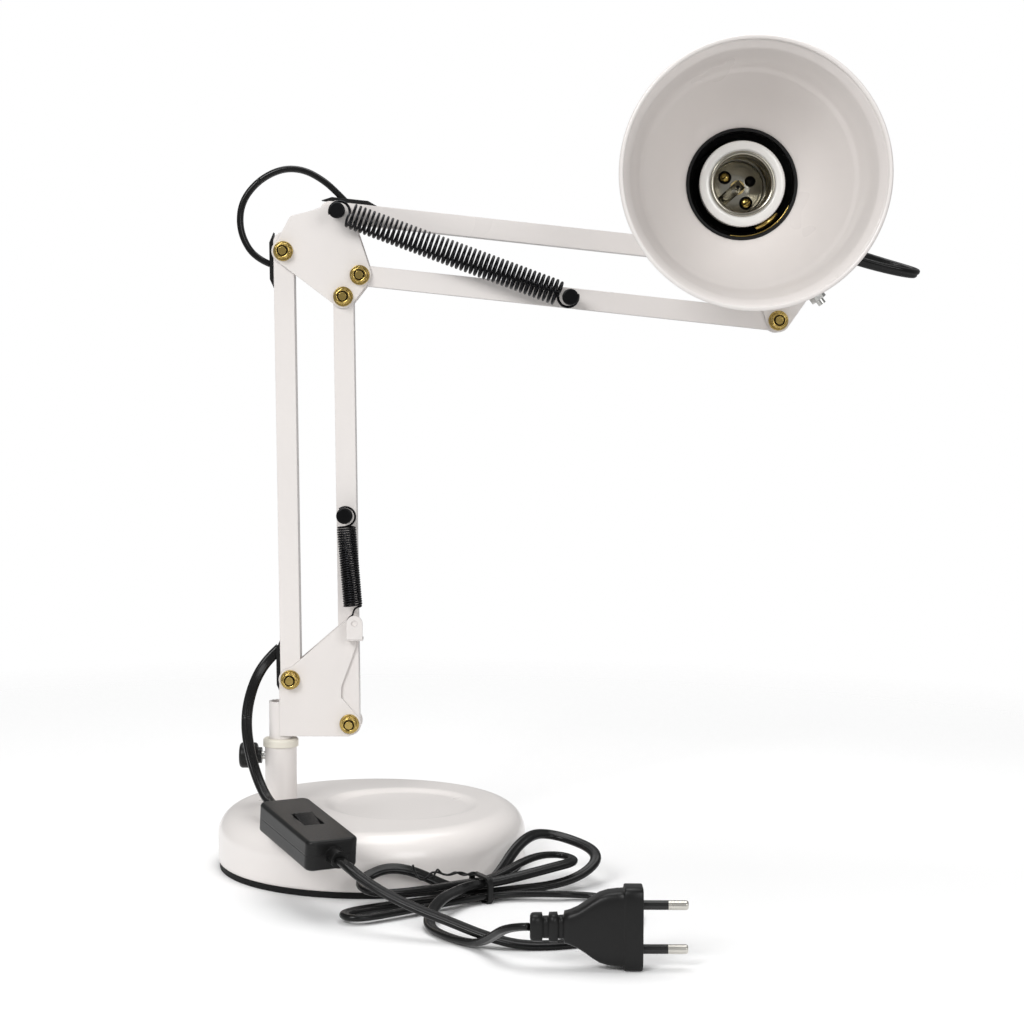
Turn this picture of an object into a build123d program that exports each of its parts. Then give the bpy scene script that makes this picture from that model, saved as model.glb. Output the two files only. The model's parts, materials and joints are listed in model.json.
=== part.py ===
from build123d import *
import math
import os

# Base
base_d = 154.0
base_h = 31.0
base_crown = 2.0
base_shoulder_r = 13.0
base_sheet = 1.2
foot_h = 3.0
foot_inset = 0.6
recess_x = 15.0
recess_r = 39.0
recess_floor_r = 32.0
recess_depth = 2.7
weight_h = 15.0
weight_gap = 4.0
over = 1.0

# Post, collar and clamp
post_x = -46.0
post_d = 16.0
post_wall = 1.2
post_top = 59.0
post_fit = 0.1
plug_h = 14.0
collar_d = 17.7
collar_h = 4.0
collar_sleeve = 22.0
swivel_d = 11.6
sheet = 1.2
run_fit = 0.05
seat_gap = 0.3
post_bolt_d = 8.0
post_bolt_head_d = 14.0
post_bolt_head_h = 2.4
clamp_z = 54.0
clamp_screw_d = 4.0
clamp_knob_d = 12.8
clamp_knob_h = 9.0
clamp_reach = 20.6
clamp_round = 1.6
clamp_hub_d = 8.0
clamp_hub_h = 2.0

# Arm: pivots, bars and plates
lower_pivot_x = 5.5
lower_pivot_z = 93.3
lower_pair_dx = 29.5
lower_pair_dz = -22.2
lower_len = 213.0
lower_lean = -0.73
elbow_dx = 27.4
elbow_dz = 19.2
upper_pair_dx = 10.3
upper_pair_dz = -30.8
upper_len = 208.0
upper_droop = 5.97
bar_w = 10.0
bar_wall = 0.9
bar_end = 5.0
rear_foot_end = 8.0
rear_top_end = 9.4
top_root_end = 9.4
plate_gap = 10.6
sleeve_d = 6.0
bolt_d = 4.0
bolt_head_d = 7.6
bolt_head_h = 2.6
bolt_tip = 0.8
nut_af = 7.0
nut_h = 3.2
nut_flange_d = 9.5
nut_flange_h = 1.2
plate_r = 5.8

# Lower bracket outline, from its rear pivot
swivel_top = 11.6
ear_dx = 32.6
ear_dz = 29.1
ear_r = 4.0
ear_hole_d = 3.0
brow_dx = 30.6
brow_dz = 32.4
waist_dx = 25.5
waist_high = 3.6
waist_low = 9.0
cheek_dx = 33.4
cheek_dz = 18.0
bracket_drop = 28.5
swivel_slit = 1.6

# Elbow plate outline
crest_dx = 3.5
crest_dz = 17.2
shelf_dx = -13.2
shelf_dz = 0.7
crest_r = 2.0

# Cable grommets in the bars
grommet_len = 28.0
grommet_w = 6.4
grommet_proud = 2.2
grommet_taper = 5.0
grommet_foot_w = 5.2
grommet_foot_inset = 3.0
lead_d = 4.6
lead_exit = 14.0
lead_bend = 10.0
lead_tuck = 1.1
head_exit_at = 160.0
rear_exit_at = 6.0
top_exit_at = 1.5

# Springs and their pins
spring_y = -13.0
spring_pin_d = 4.0
spring_barrel_d = 6.0
spring_cap_d = 8.0
spring_cap_h = 2.6
spring_cap_round = 0.8
spring_pin_reach = 18.0
spring_rivet_d = 7.0
spring_rivet_h = 1.2
lower_spring_at = 105.3
lower_spring_od = 9.5
lower_spring_wire = 0.9
lower_spring_turns = 28
upper_spring_at = 104.2
upper_spring_od = 12.2
upper_spring_wire = 1.2
upper_spring_turns = 46
spring_meet = 0.1
spring_lead_share = 0.75

# Head bracket and swivel stem
neck_dx = -10.0
neck_dz = 34.8
stem_dip = 53.1
shade_turn = 0.6
tube_from = 41.0
tube_to = 63.0
stem_d = 9.1
stem_flange_d = 10.4
stem_flange_h = 1.6
stem_tail = 71.5
stem_eye_r = 5.0
stem_eye_t = 4.0
stem_washer_d = 10.4
stem_washer_h = 1.0
stem_nut_h = 4.6
tilt_at = 31.5
tilt_side = 0.15
lug_sheet = 1.2
lug_width = 14.0
tilt_bolt_d = 4.0
tilt_head_h = 2.0
tilt_nut_h = 2.0
tilt_tip = 0.3

# Shade, neck and socket, measured back from the rim
rim_y = -85.0
rim_d = 125.0
lip_w = 2.2
bell_wall = 0.9
shade_step_r = 58.0
shade_step_at = 7.0
shade_mid_r = 50.5
shade_mid_at = 32.0
throat_r = 28.0
throat_at = 63.0
collar_len = 6.0
neck_r = 24.4
neck_wall = 1.6
neck_back = 36.0
neck_step = 5.5
neck_round = 4.0
gland_d = 9.0
gland_len = 9.0
gland_flange_d = 13.0
gland_flange_h = 2.0
socket_d = 41.0
socket_front = 60.0
socket_len = 34.0
socket_bore_r = 13.6
socket_bore_len = 27.0
socket_waist_d = 36.0
socket_ring_len = 9.0
shell_wall = 0.5
shell_len = 20.5
contact_r = 3.5
contact_h = 3.0
contact_gap = 0.5
strap_w = 9.0
strap_t = 1.2
socket_screw_d = 3.5
socket_screw_head_d = 6.0
socket_screw_head_h = 2.0
socket_screw_pitch = 24.0
screw_seat = 0.3

# Cord, switch and plug
cord_d = 4.6
switch_l = 62.0
switch_w = 25.0
switch_h = 14.0
switch_seam = 7.0
switch_round = 4.0
switch_wall = 1.6
switch_turn = 28.0
switch_dip = 7.0
switch_x = -24.5
switch_y = -88.0
switch_z = 33.8
switch_nose_d = 8.0
switch_nose_l = 7.0
rocker_l = 16.0
rocker_w = 9.0
rocker_h = 8.0
rocker_proud = 1.6
rocker_fit = 0.4
rocker_pivot_d = 2.4
terminal_l = 9.0
terminal_w = 5.0
terminal_h = 3.0
terminal_gap = 11.0
plug_x = 124.5
plug_y = -190.0
plug_t = 13.7
plug_tall = 35.3
plug_face = 8.0
plug_len = 34.0
plug_tail_h = 13.0
plug_tail_l = 13.0
plug_tail_d = 8.4
plug_edge = 2.0
pin_d = 4.0
pin_len = 19.0
pin_pitch = 18.6
pin_root = 6.0
tie_w = 2.6
tie_t = 1.2
tie_gap = 0.3

# Free cord routes, points in mm between the pieces that hold their ends
arm_route = [
    (-50.0, -40.8, 44.6), (-53.6, -35.0, 52.4), (-56.6, -29.0, 61.6), (-59.2, -22.0, 71.4), (-61.8, -13.6, 80.0),
    (-63.8, -5.6, 87.4), (-64.0, -1.2, 95.0),
]
switch_route = [
    (4.6, -134.0, 23.4), (15.0, -140.4, 18.6), (28.6, -146.0, 13.6), (43.0, -151.0, 9.4),
    (58.0, -157.6, 5.0), (74.0, -162.4, 2.4), (93.0, -160.4, 2.4), (111.0, -150.6, 2.4), (123.4, -134.0, 2.4),
    (127.6, -113.0, 2.4), (124.0, -92.0, 2.4), (112.6, -78.6, 2.4), (100.0, -77.0, 2.8),
]
plug_route = [
    (34.8, -117.6, 6.4), (32.4, -128.0, 3.2), (33.0, -139.0, 2.4), (37.2, -150.4, 2.4), (43.2, -160.6, 2.6),
    (49.6, -170.4, 5.2), (57.0, -180.6, 10.6),
]
elbow_route = [
    (-63.6, 0.0, 307.0), (-64.6, 0.0, 319.4), (-60.6, 0.0, 333.0), (-51.0, 0.0, 343.2), (-39.0, 0.0, 348.4),
    (-27.6, 0.0, 348.8), (-18.0, 0.0, 345.4),
]
head_route = [
    (145.6, 9.0, 328.6), (147.0, 26.0, 333.6), (156.0, 43.6, 334.6), (174.0, 55.6, 330.4), (200.0, 61.4, 321.2),
    (228.0, 62.4, 310.8), (250.0, 61.6, 303.0), (264.0, 61.0, 299.0), (275.4, 62.6, 296.8), (282.0, 71.0, 296.0),
    (277.4, 81.0, 297.6), (264.0, 86.0, 301.8), (243.0, 87.2, 308.8), (219.0, 85.6, 318.4), (199.0, 79.0, 328.6),
]
cord_stub = 9.0
loop_stub = 7.0
gland_stub = 14.0

# Hank on the floor: its waist, and one row a loop of reach, heading, half width, side and three heights
hank_x = 56.0
hank_y = -78.0
hank_heading = 30.0
hank_loops = [
    (76.0, 215.0, 6.5, 1, 3.0, 3.0, 3.0),
    (74.0, 43.0, 17.0, -1, 4.0, 15.0, 21.0),
    (60.0, 197.0, 9.5, -1, 20.0, 13.0, 9.6),
    (58.0, 37.0, 6.5, 1, 15.0, 13.5, 12.0),
]
hank_mid_share = 0.66
hank_pitch = 5.6
hank_floor = 3.2
hank_arm = 24.0
hank_ends = [12.0, 175.0, 232.0, 245.0]
hank_seat_shares = [(-1.0, 0.0), (0.0, 0.0), (1.0, 0.0), (0.5, 0.95), (-0.5, 0.95)]
gap_step = 1.5
straight_share = 0.999999

parts = {}
both_ways = (1, -1)


def along(axis_point, heading_vector, distance):
    """The point at a distance from a point along a vector."""
    return Vector(axis_point) + Vector(heading_vector).normalized() * distance


def rod(start, direction, radius, length):
    """A round bar from a start point along a direction."""
    seat = Plane(origin=start, z_dir=direction)
    return seat * Cylinder(radius, length, align=(Align.CENTER, Align.CENTER, Align.MIN))


def hexagon(start, direction, across, length):
    """A hexagonal bar from a start point along a direction."""
    seat = Plane(origin=start, z_dir=direction)
    return extrude(seat * RegularPolygon(across / 2, 6, major_radius=False), length)


def slab(outline, front_y, thickness):
    """A flat plate from an outline in X and Z, going back from its front face."""
    return extrude(Pos(0, front_y, 0) * (Plane.XZ * outline), thickness, dir=(0, 1, 0))


def disc(point, radius):
    """A round patch of an outline about a point of the arm's plane."""
    return Pos(point.X, point.Z) * Circle(radius)


def span(*discs):
    """The outline that a taut band round several round patches would have."""
    return make_hull([edge for patch in discs for edge in patch.edges()])


def keep(name, *solids):
    """Stores a node, as one solid or as a group of separate solids."""
    parts[name] = solids[0] if len(solids) == 1 else Compound(children=list(solids))


def arm_vector(angle):
    """A unit vector in the arm's plane, counted from +X towards +Z in degrees."""
    return Vector(math.cos(math.radians(angle)), 0, math.sin(math.radians(angle)))


# Places that follow from the driving sizes
front = Vector(0, -1, 0)
rear_low = Vector(post_x + lower_pivot_x, 0, lower_pivot_z)
front_low = rear_low + Vector(lower_pair_dx, 0, lower_pair_dz)
lower_way = arm_vector(90 - lower_lean)
rear_high = rear_low + lower_way * lower_len
front_high = front_low + lower_way * lower_len
top_root = rear_high + Vector(elbow_dx, 0, elbow_dz)
bottom_root = top_root + Vector(upper_pair_dx, 0, upper_pair_dz)
upper_way = arm_vector(-upper_droop)
top_tip = top_root + upper_way * upper_len
bottom_tip = bottom_root + upper_way * upper_len
neck_centre = top_tip + Vector(neck_dx, 0, neck_dz)
stem_way = arm_vector(-stem_dip)
plate_in = plate_gap / 2
plate_out = plate_in + sheet
post_foot = foot_h + weight_h
plug_top = post_foot + plug_h


def dome(radius, top, shoulder):
    """The base's body: a very shallow cone over a straight skirt, with a round shoulder between them."""
    lean = math.atan2(base_crown, base_d / 2)
    turn_x = radius - shoulder
    turn_z = top - turn_x * math.tan(lean) - shoulder / math.cos(lean)
    half_turn = (math.pi / 2 + lean) / 2
    turn_mid = (turn_x + shoulder * math.sin(half_turn), turn_z + shoulder * math.cos(half_turn))
    meet = (turn_x + shoulder * math.sin(lean), turn_z + shoulder * math.cos(lean))
    profile = make_face(
        Line((0, foot_h), (radius, foot_h)) + Line((radius, foot_h), (radius, turn_z))
        + ThreePointArc((radius, turn_z), turn_mid, meet) + Line(meet, (0, top)) + Line((0, top), (0, foot_h))
    )
    return Rot(90, 0, 0) * revolve(profile, Axis.Y)


def recess(growth):
    """The dished recess in the base's top, grown by a sheet for its underside."""
    bottom = base_h - recess_depth - growth
    dish = Cone(
        recess_floor_r + growth, recess_r + growth, recess_depth + growth,
        align=(Align.CENTER, Align.CENTER, Align.MIN),
    )
    return Pos(recess_x, 0, bottom) * dish


def make_base():
    """Shell, foot pad, weight and the post with its plug, bolt and bush."""
    post_hole = rod((post_x, 0, 0), (0, 0, 1), post_d / 2 + post_fit, base_h + over)
    outside = dome(base_d / 2, base_h, base_shoulder_r) - recess(0)
    inside = dome(base_d / 2 - base_sheet, base_h - base_sheet, base_shoulder_r - base_sheet) - recess(base_sheet)
    keep("base_shell", outside - inside - post_hole)
    foot_r = base_d / 2 - foot_inset
    foot = Cylinder(foot_r, foot_h, align=(Align.CENTER, Align.CENTER, Align.MIN))
    bolt_pocket = rod((post_x, 0, 0), (0, 0, 1), post_bolt_head_d / 2 + post_fit, foot_h)
    keep("base_foot", foot - bolt_pocket)
    weight_r = base_d / 2 - base_sheet - weight_gap
    weight = Pos(0, 0, foot_h) * Cylinder(weight_r, weight_h, align=(Align.CENTER, Align.CENTER, Align.MIN))
    weight = fillet(weight.edges().group_by(Axis.Z)[-1], base_shoulder_r / 2)
    keep("base_weight", weight - rod((post_x, 0, 0), (0, 0, 1), post_bolt_d / 2 + post_fit, base_h))
    bore = post_d / 2 - post_wall
    screw_hole = rod((post_x, 0, clamp_z), (-1, 0, 0), clamp_screw_d / 2 + run_fit, post_d)
    tube = rod((post_x, 0, post_foot), (0, 0, 1), post_d / 2, post_top - post_foot)
    keep("post_tube", tube - rod((post_x, 0, 0), (0, 0, 1), bore, base_d) - screw_hole)
    slug = rod((post_x, 0, post_foot), (0, 0, 1), bore, plug_h)
    keep("post_plug", slug - rod((post_x, 0, 0), (0, 0, 1), post_bolt_d / 2, plug_top + over))
    head_low = foot_h - post_bolt_head_h
    bolt = rod((post_x, 0, head_low), (0, 0, 1), post_bolt_head_d / 2, post_bolt_head_h)
    bolt += rod((post_x, 0, foot_h), (0, 0, 1), post_bolt_d / 2, plug_top - foot_h)
    keep("post_bolt", bolt)
    bush = rod((post_x, 0, post_top), (0, 0, 1), collar_d / 2, collar_h)
    bush = fillet(bush.edges().group_by(Axis.Z)[-1], sheet)
    bush += rod((post_x, 0, post_top - collar_sleeve), (0, 0, 1), bore, collar_sleeve)
    bush -= rod((post_x, 0, 0), (0, 0, 1), swivel_d / 2 + run_fit, base_d)
    keep("collar_bush", bush - screw_hole)


def make_clamp():
    """The clamp screw through the post's wall, and its knob."""
    tip = post_x - swivel_d / 2 - seat_gap
    knob_in = post_x - clamp_reach + clamp_knob_h
    keep("clamp_screw", rod((tip, 0, clamp_z), (-1, 0, 0), clamp_screw_d / 2, tip - knob_in + clamp_knob_h / 2))
    knob = rod((knob_in, 0, clamp_z), (-1, 0, 0), clamp_knob_d / 2, clamp_knob_h)
    knob = fillet(knob.edges().filter_by(GeomType.CIRCLE), clamp_round)
    knob += rod((knob_in + clamp_hub_h, 0, clamp_z), (-1, 0, 0), clamp_hub_d / 2, clamp_hub_h + clamp_round)
    keep("clamp_knob", knob - parts["clamp_screw"])


def pivot_bolt(pivot, reach):
    """A pan-head bolt through both plates, with its head at the back."""
    start = pivot + Vector(0, plate_out, 0)
    head = rod(start + Vector(0, bolt_head_h, 0), front, bolt_head_d / 2, bolt_head_h)
    return head + rod(start, front, bolt_d / 2, reach)


def flange_nut(pivot):
    """A hexagon nut with a round flange on the front plate."""
    start = pivot + Vector(0, -plate_out, 0)
    nut = rod(start, front, nut_flange_d / 2, nut_flange_h)
    nut += hexagon(start, front, nut_af, nut_flange_h + nut_h)
    return nut - rod(start, front, bolt_d / 2, base_d)


def fasten(name, pivots):
    """The bolts and flange nuts of one bracket, as a group."""
    reach = 2 * plate_out + nut_flange_h + nut_h + bolt_tip
    keep(name, *[pivot_bolt(pivot, reach) for pivot in pivots], *[flange_nut(pivot) for pivot in pivots])


def holes(pivots):
    """The bolt holes of a bracket's plates."""
    return [rod(pivot + Vector(0, base_d, 0), front, bolt_d / 2, 2 * base_d) for pivot in pivots]


def make_lower_bracket():
    """A folded sheet: two plates, the rolled swivel tube at their back and the spring's ear."""
    ear = rear_low + Vector(ear_dx, 0, ear_dz)
    tube_x = -lower_pivot_x
    outline = Polygon(
        (0, plate_r), (brow_dx, brow_dz), (cheek_dx, cheek_dz), (waist_dx, -waist_high), (waist_dx, -waist_low),
        (cheek_dx, -cheek_dz), (lower_pair_dx, -bracket_drop), (tube_x, -bracket_drop), (tube_x, -swivel_top),
        (tube_x, 0), align=None,
    )
    outline = Pos(rear_low.X, rear_low.Z) * outline + disc(front_low, plate_r) + disc(rear_low, plate_r)
    body = slab(outline, -plate_out, sheet) + slab(outline, plate_in, sheet)
    tube_low = plug_top + seat_gap
    tube_high = rear_low.Z - swivel_top
    tube = rod((post_x, 0, tube_low), (0, 0, 1), swivel_d / 2, tube_high - tube_low)
    body += tube
    body -= rod((post_x, 0, 0), (0, 0, 1), swivel_d / 2 - sheet, tube_high)
    body -= Pos(post_x + swivel_d / 2, 0, tube_low) * Box(swivel_d, swivel_slit, 2 * plug_h)
    tab = disc(ear, ear_r) + Pos(ear.X, ear.Z - ear_r) * Rectangle(2 * ear_r, 2 * ear_r)
    body += slab(tab, spring_y - sheet / 2, sheet)
    depth = spring_y + sheet / 2 + plate_in
    web = Pos(ear.X, spring_y / 2 - plate_in / 2, ear.Z - 2 * ear_r) * Box(2 * ear_r, -depth + sheet, sheet)
    body += web
    body -= rod(ear + Vector(0, 2 * spring_y, 0), (0, 1, 0), ear_hole_d / 2, -spring_y)
    for hole in holes((rear_low, front_low)):
        body -= hole
    keep("lower_bracket", body)
    fasten("lower_pivot_bolts", (rear_low, front_low))


def make_bar(name, start, way, length, ends, slots=()):
    """A square tube with round ends about its pivots, its sleeves, and slots for grommets."""
    low, high = ends
    first = start - way * (low - bar_end)
    last = start + way * (length + high - bar_end)
    outer = span(disc(first, bar_w / 2), disc(last, bar_w / 2))
    inner = span(disc(first, bar_w / 2 - bar_wall), disc(last, bar_w / 2 - bar_wall))
    bar = slab(outer, -bar_w / 2, bar_w) - slab(inner, -bar_w / 2 + bar_wall, bar_w - 2 * bar_wall)
    pivots = (start, start + way * length)
    back = Vector(0, bar_w, 0)
    for pivot in pivots:
        bar -= rod(pivot + back, front, sleeve_d / 2, 2 * bar_w)
    for slot in slots:
        bar -= slot
    keep(name, bar)
    sleeves = []
    for pivot in pivots:
        head = pivot + Vector(0, plate_in - run_fit, 0)
        sleeve = rod(head, front, sleeve_d / 2, plate_gap - 2 * run_fit)
        sleeves.append(sleeve - rod(head, front, bolt_d / 2 + run_fit, plate_gap))
    keep(name + "_sleeves", *sleeves)


def grommet(face, way, outward):
    """A long plastic grommet on a bar's face: a tapered cap and the foot that fills its slot."""
    seat = Plane(origin=face, x_dir=way, z_dir=outward)
    half = grommet_len / 2
    nose = half - grommet_taper
    profile = Polygon((-half, 0), (half, 0), (nose, grommet_proud), (-nose, grommet_proud), align=None)
    side = Plane(origin=face, x_dir=way, z_dir=Vector(outward).cross(Vector(way)) * -1)
    cap = extrude(side * profile, grommet_w / 2, both=True)
    foot_len = grommet_len - 2 * grommet_foot_inset
    foot = seat * Box(foot_len, grommet_foot_w, bar_wall, align=(Align.CENTER, Align.CENTER, Align.MAX))
    return cap + foot, foot


def inner_lead(start, way, outward, first, last):
    """The lead inside a bar, from under one grommet to under the other."""
    deep = bar_w / 2 - bar_wall - lead_tuck
    points = [
        start + way * first + outward * deep,
        start + way * (first + lead_bend) + outward * 0,
        start + way * (last - lead_bend) + outward * 0,
        start + way * last + outward * deep,
    ]
    path = FilletPolyline(*points, radius=lead_bend)
    section = Plane(origin=path @ 0, z_dir=path % 0) * Circle(lead_d / 4)
    return sweep(section, path)


def spring_pin(pivot, tail):
    """A black shouldered pin: a stem through the bar or bolt, a barrel for the hook and a wide cap."""
    neck_y = -plate_out
    body = rod(pivot + Vector(0, tail, 0), front, spring_pin_d / 2, tail - neck_y)
    body += rod(pivot + Vector(0, neck_y, 0), front, spring_barrel_d / 2, spring_pin_reach + neck_y)
    cap = rod(pivot + Vector(0, -spring_pin_reach, 0), front, spring_cap_d / 2, spring_cap_h)
    body += fillet(cap.edges().group_by(Axis.Y)[0], spring_cap_round)
    return body + rod(pivot + Vector(0, tail, 0), (0, 1, 0), spring_rivet_d / 2, spring_rivet_h)


def biarc(start, start_way, end, end_way):
    """Two arcs that leave a point along one direction and reach another along a second, meeting smoothly."""
    gap = end - start
    both = start_way + end_way
    flat = 2 * (1 - start_way.dot(end_way))
    reach = gap.dot(both)
    size = gap.dot(gap)
    if reach > 2 * gap.length * straight_share:
        return [Edge.make_line(start, end)]
    if flat > 1 - straight_share:
        leg = (math.sqrt(reach * reach + flat * size) - reach) / flat
    else:
        leg = size / (2 * reach)
    middle = (start + start_way * leg + end - end_way * leg) * 0.5
    second_way = (end - end_way * leg - start - start_way * leg).normalized()
    return [Edge.make_tangent_arc(start, start_way, middle), Edge.make_tangent_arc(middle, second_way, end)]


def tube_on(edges, diameter):
    """A round tube swept along a chain of edges."""
    path = Wire(edges)
    section = Plane(origin=path @ 0, z_dir=path % 0) * Circle(diameter / 2)
    return sweep(section, path)


def self_gap(edges, diameter, step):
    """The least gap between turns of a tube, on points that are further apart along it than a few diameters."""
    points = []
    run = 0.0
    for edge in edges:
        count = max(2, int(edge.length / step))
        for k in range(count):
            points.append((run + edge.length * k / count, edge @ (k / count)))
        run += edge.length
    least = run
    skip = 2.2 * diameter
    for i, (s, p) in enumerate(points):
        for t, q in points[i + 1:]:
            if t - s > skip:
                least = min(least, (p - q).length)
    return least - diameter


def spring(name, start, end, outside, wire, turns, end_gaps):
    """A tension spring: a helix of half-turn arcs whose ends come in to the axis and run straight."""
    axis = (end - start).normalized()
    side = Vector(0, -1, 0)
    other = axis.cross(side)
    radius = (outside - wire) / 2
    length = (end - start).length
    first = end_gaps[0]
    last = length - end_gaps[1]
    turn_in = radius * spring_lead_share
    coil_from = first + wire + turn_in
    coil_to = last - wire - turn_in
    pitch = (coil_to - coil_from) / turns

    def at(turn):
        angle = 2 * math.pi * turn
        radial = side * math.cos(angle) + other * math.sin(angle)
        return start + axis * (coil_from + pitch * turn) + radial * radius

    def way(turn):
        angle = 2 * math.pi * turn
        swing = other * math.cos(angle) - side * math.sin(angle)
        return (swing * (2 * math.pi * radius) + axis * pitch).normalized()

    head, tail = start + axis * first, start + axis * last
    edges = [Edge.make_line(head, head + axis * wire)]
    edges += biarc(head + axis * wire, axis, at(0), way(0))
    for half in range(2 * turns):
        edges += biarc(at(half / 2), way(half / 2), at(half / 2 + 0.5), way(half / 2 + 0.5))
    edges += biarc(at(turns), way(turns), tail - axis * wire, axis)
    edges.append(Edge.make_line(tail - axis * wire, tail))
    keep(name, tube_on(edges, wire))
    print(name, "pitch less wire", round(pitch - wire, 2))


def make_arms():
    """Bars, sleeves, grommets, inner leads, plates, springs and pins of both arms."""
    left = arm_vector(180 - lower_lean)
    up = arm_vector(90 - upper_droop)
    half_len = grommet_len / 2
    rear_face = left * (bar_w / 2)
    top_face = up * (bar_w / 2)
    rear_spots = (half_len - rear_foot_end, lower_len + rear_top_end - half_len)
    top_spots = (half_len - top_root_end, head_exit_at)
    rear_caps = [grommet(rear_low + lower_way * spot + rear_face, lower_way, left) for spot in rear_spots]
    top_caps = [grommet(top_root + upper_way * spot + top_face, upper_way, up) for spot in top_spots]
    make_bar("rear_bar", rear_low, lower_way, lower_len, (rear_foot_end, rear_top_end), [c[1] for c in rear_caps])
    make_bar("front_bar", front_low, lower_way, lower_len, (bar_end, bar_end))
    make_bar("top_bar", top_root, upper_way, upper_len, (top_root_end, bar_end), [c[1] for c in top_caps])
    make_bar("bottom_bar", bottom_root, upper_way, upper_len, (bar_end, bar_end))
    keep("rear_bar_grommets", *[c[0] for c in rear_caps])
    keep("top_bar_grommets", *[c[0] for c in top_caps])
    keep("rear_bar_lead", inner_lead(rear_low, lower_way, left, lead_exit, lower_len - lead_exit))
    keep("top_bar_lead", inner_lead(top_root, upper_way, up, lead_exit, head_exit_at - grommet_taper))
    pivots = (rear_high, front_high, bottom_root, top_root)
    crest = rear_high + Vector(crest_dx, 0, crest_dz)
    shelf = top_root + Vector(shelf_dx, 0, shelf_dz)
    outline = span(*[disc(pivot, plate_r) for pivot in pivots])
    brow = [rear_high - Vector(plate_r, 0, 0), crest, shelf, top_root + Vector(0, 0, plate_r), top_root]
    brow_face = Polygon(*[(p.X, p.Z) for p in brow], align=None)
    corner = brow_face.vertices().sort_by_distance((crest.X, crest.Z, 0))[0]
    brow_face = fillet(corner, crest_r)
    for name, near in (("elbow_front_plate", -plate_out), ("elbow_back_plate", plate_in)):
        plate = slab(outline, near, sheet) + slab(brow_face, near, sheet)
        for hole in holes(pivots):
            plate -= hole
        keep(name, plate)
    fasten("elbow_bolts", pivots[:3])
    keep("elbow_spring_pin", spring_pin(top_root, plate_out))
    low_pin = front_low + lower_way * lower_spring_at
    high_pin = bottom_root + upper_way * upper_spring_at
    for name, bar, pin in (("lower_spring_pin", "front_bar", low_pin), ("upper_spring_pin", "bottom_bar", high_pin)):
        keep(name, spring_pin(pin, bar_w / 2))
        parts[bar] -= rod(pin + Vector(0, bar_w, 0), front, spring_pin_d / 2, 2 * bar_w)
    forward = Vector(0, spring_y, 0)
    barrel = spring_barrel_d / 2 + spring_meet
    ear = rear_low + Vector(ear_dx, 0, ear_dz)
    spring(
        "lower_spring", low_pin + forward, ear + forward, lower_spring_od, lower_spring_wire, lower_spring_turns,
        (barrel, ear_r + spring_meet),
    )
    spring(
        "upper_spring", top_root + forward, high_pin + forward, upper_spring_od, upper_spring_wire,
        upper_spring_turns, (barrel, barrel),
    )


def make_head():
    """The head bracket's plates and rolled tube, and the stem that turns in it."""
    tube_start = along(neck_centre, stem_way, tube_from)
    tube_spots = [disc(along(neck_centre, stem_way, spot), over) for spot in (tube_from + over, tube_to - over)]
    outline = span(disc(top_tip, plate_r), disc(bottom_tip, plate_r), *tube_spots)
    body = slab(outline, -plate_out, sheet) + slab(outline, plate_in, sheet)
    body += rod(tube_start, stem_way, swivel_d / 2, tube_to - tube_from)
    body -= rod(neck_centre, stem_way, stem_d / 2 + run_fit, base_d)
    for hole in holes((top_tip, bottom_tip)):
        body -= hole
    keep("head_bracket", body)
    fasten("head_bolts", (top_tip, bottom_tip))
    eye = along(neck_centre, stem_way, tilt_at)
    tilt_way = shade_turned(arm_vector(90 - stem_dip))
    seat = Plane(origin=eye, x_dir=stem_way, z_dir=tilt_way)
    flat = Circle(stem_eye_r) + Pos(stem_eye_r, 0) * Rectangle(2 * stem_eye_r, 2 * stem_eye_r)
    flange_from = tube_from - seat_gap - stem_flange_h
    blade = extrude(seat * flat, stem_eye_t / 2, both=True)
    blade &= rod(neck_centre, stem_way, flange_from, flange_from)
    stem = blade + rod(along(neck_centre, stem_way, flange_from), stem_way, stem_flange_d / 2, stem_flange_h)
    stem_end = tube_to + seat_gap
    stem += rod(along(neck_centre, stem_way, flange_from), stem_way, stem_d / 2, stem_end - flange_from)
    stem += rod(along(neck_centre, stem_way, flange_from), stem_way, bolt_d / 2, stem_tail - flange_from)
    stem -= rod(eye - tilt_way * base_d, tilt_way, tilt_bolt_d / 2 + run_fit, 2 * base_d)
    keep("swivel_stem", stem)
    washer = rod(along(neck_centre, stem_way, stem_end), stem_way, stem_washer_d / 2, stem_washer_h)
    nut_from = along(neck_centre, stem_way, stem_end + stem_washer_h)
    nut = hexagon(nut_from, stem_way, nut_af, stem_nut_h)
    thread = rod(neck_centre, stem_way, bolt_d / 2, base_d)
    keep("swivel_nut", washer - thread, nut - thread)


def shade_turned(shape):
    """Turns a shape or a vector of the shade about the stem's axis to its rest angle."""
    axis = Axis(neck_centre, stem_way)
    if isinstance(shape, Vector):
        return shape.rotate(Axis((0, 0, 0), stem_way), shade_turn)
    return shape.rotate(axis, shade_turn)


def lathe(points):
    """A solid turned about the shade's axis from points of radius and distance behind the rim."""
    place = [(neck_centre.X + r, rim_y + at) for r, at in points]
    profile = make_face(Polyline(*place, close=True))
    axis = Axis((neck_centre.X, 0, neck_centre.Z), (0, 1, 0))
    return revolve(Pos(0, 0, neck_centre.Z) * profile, axis)


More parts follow.
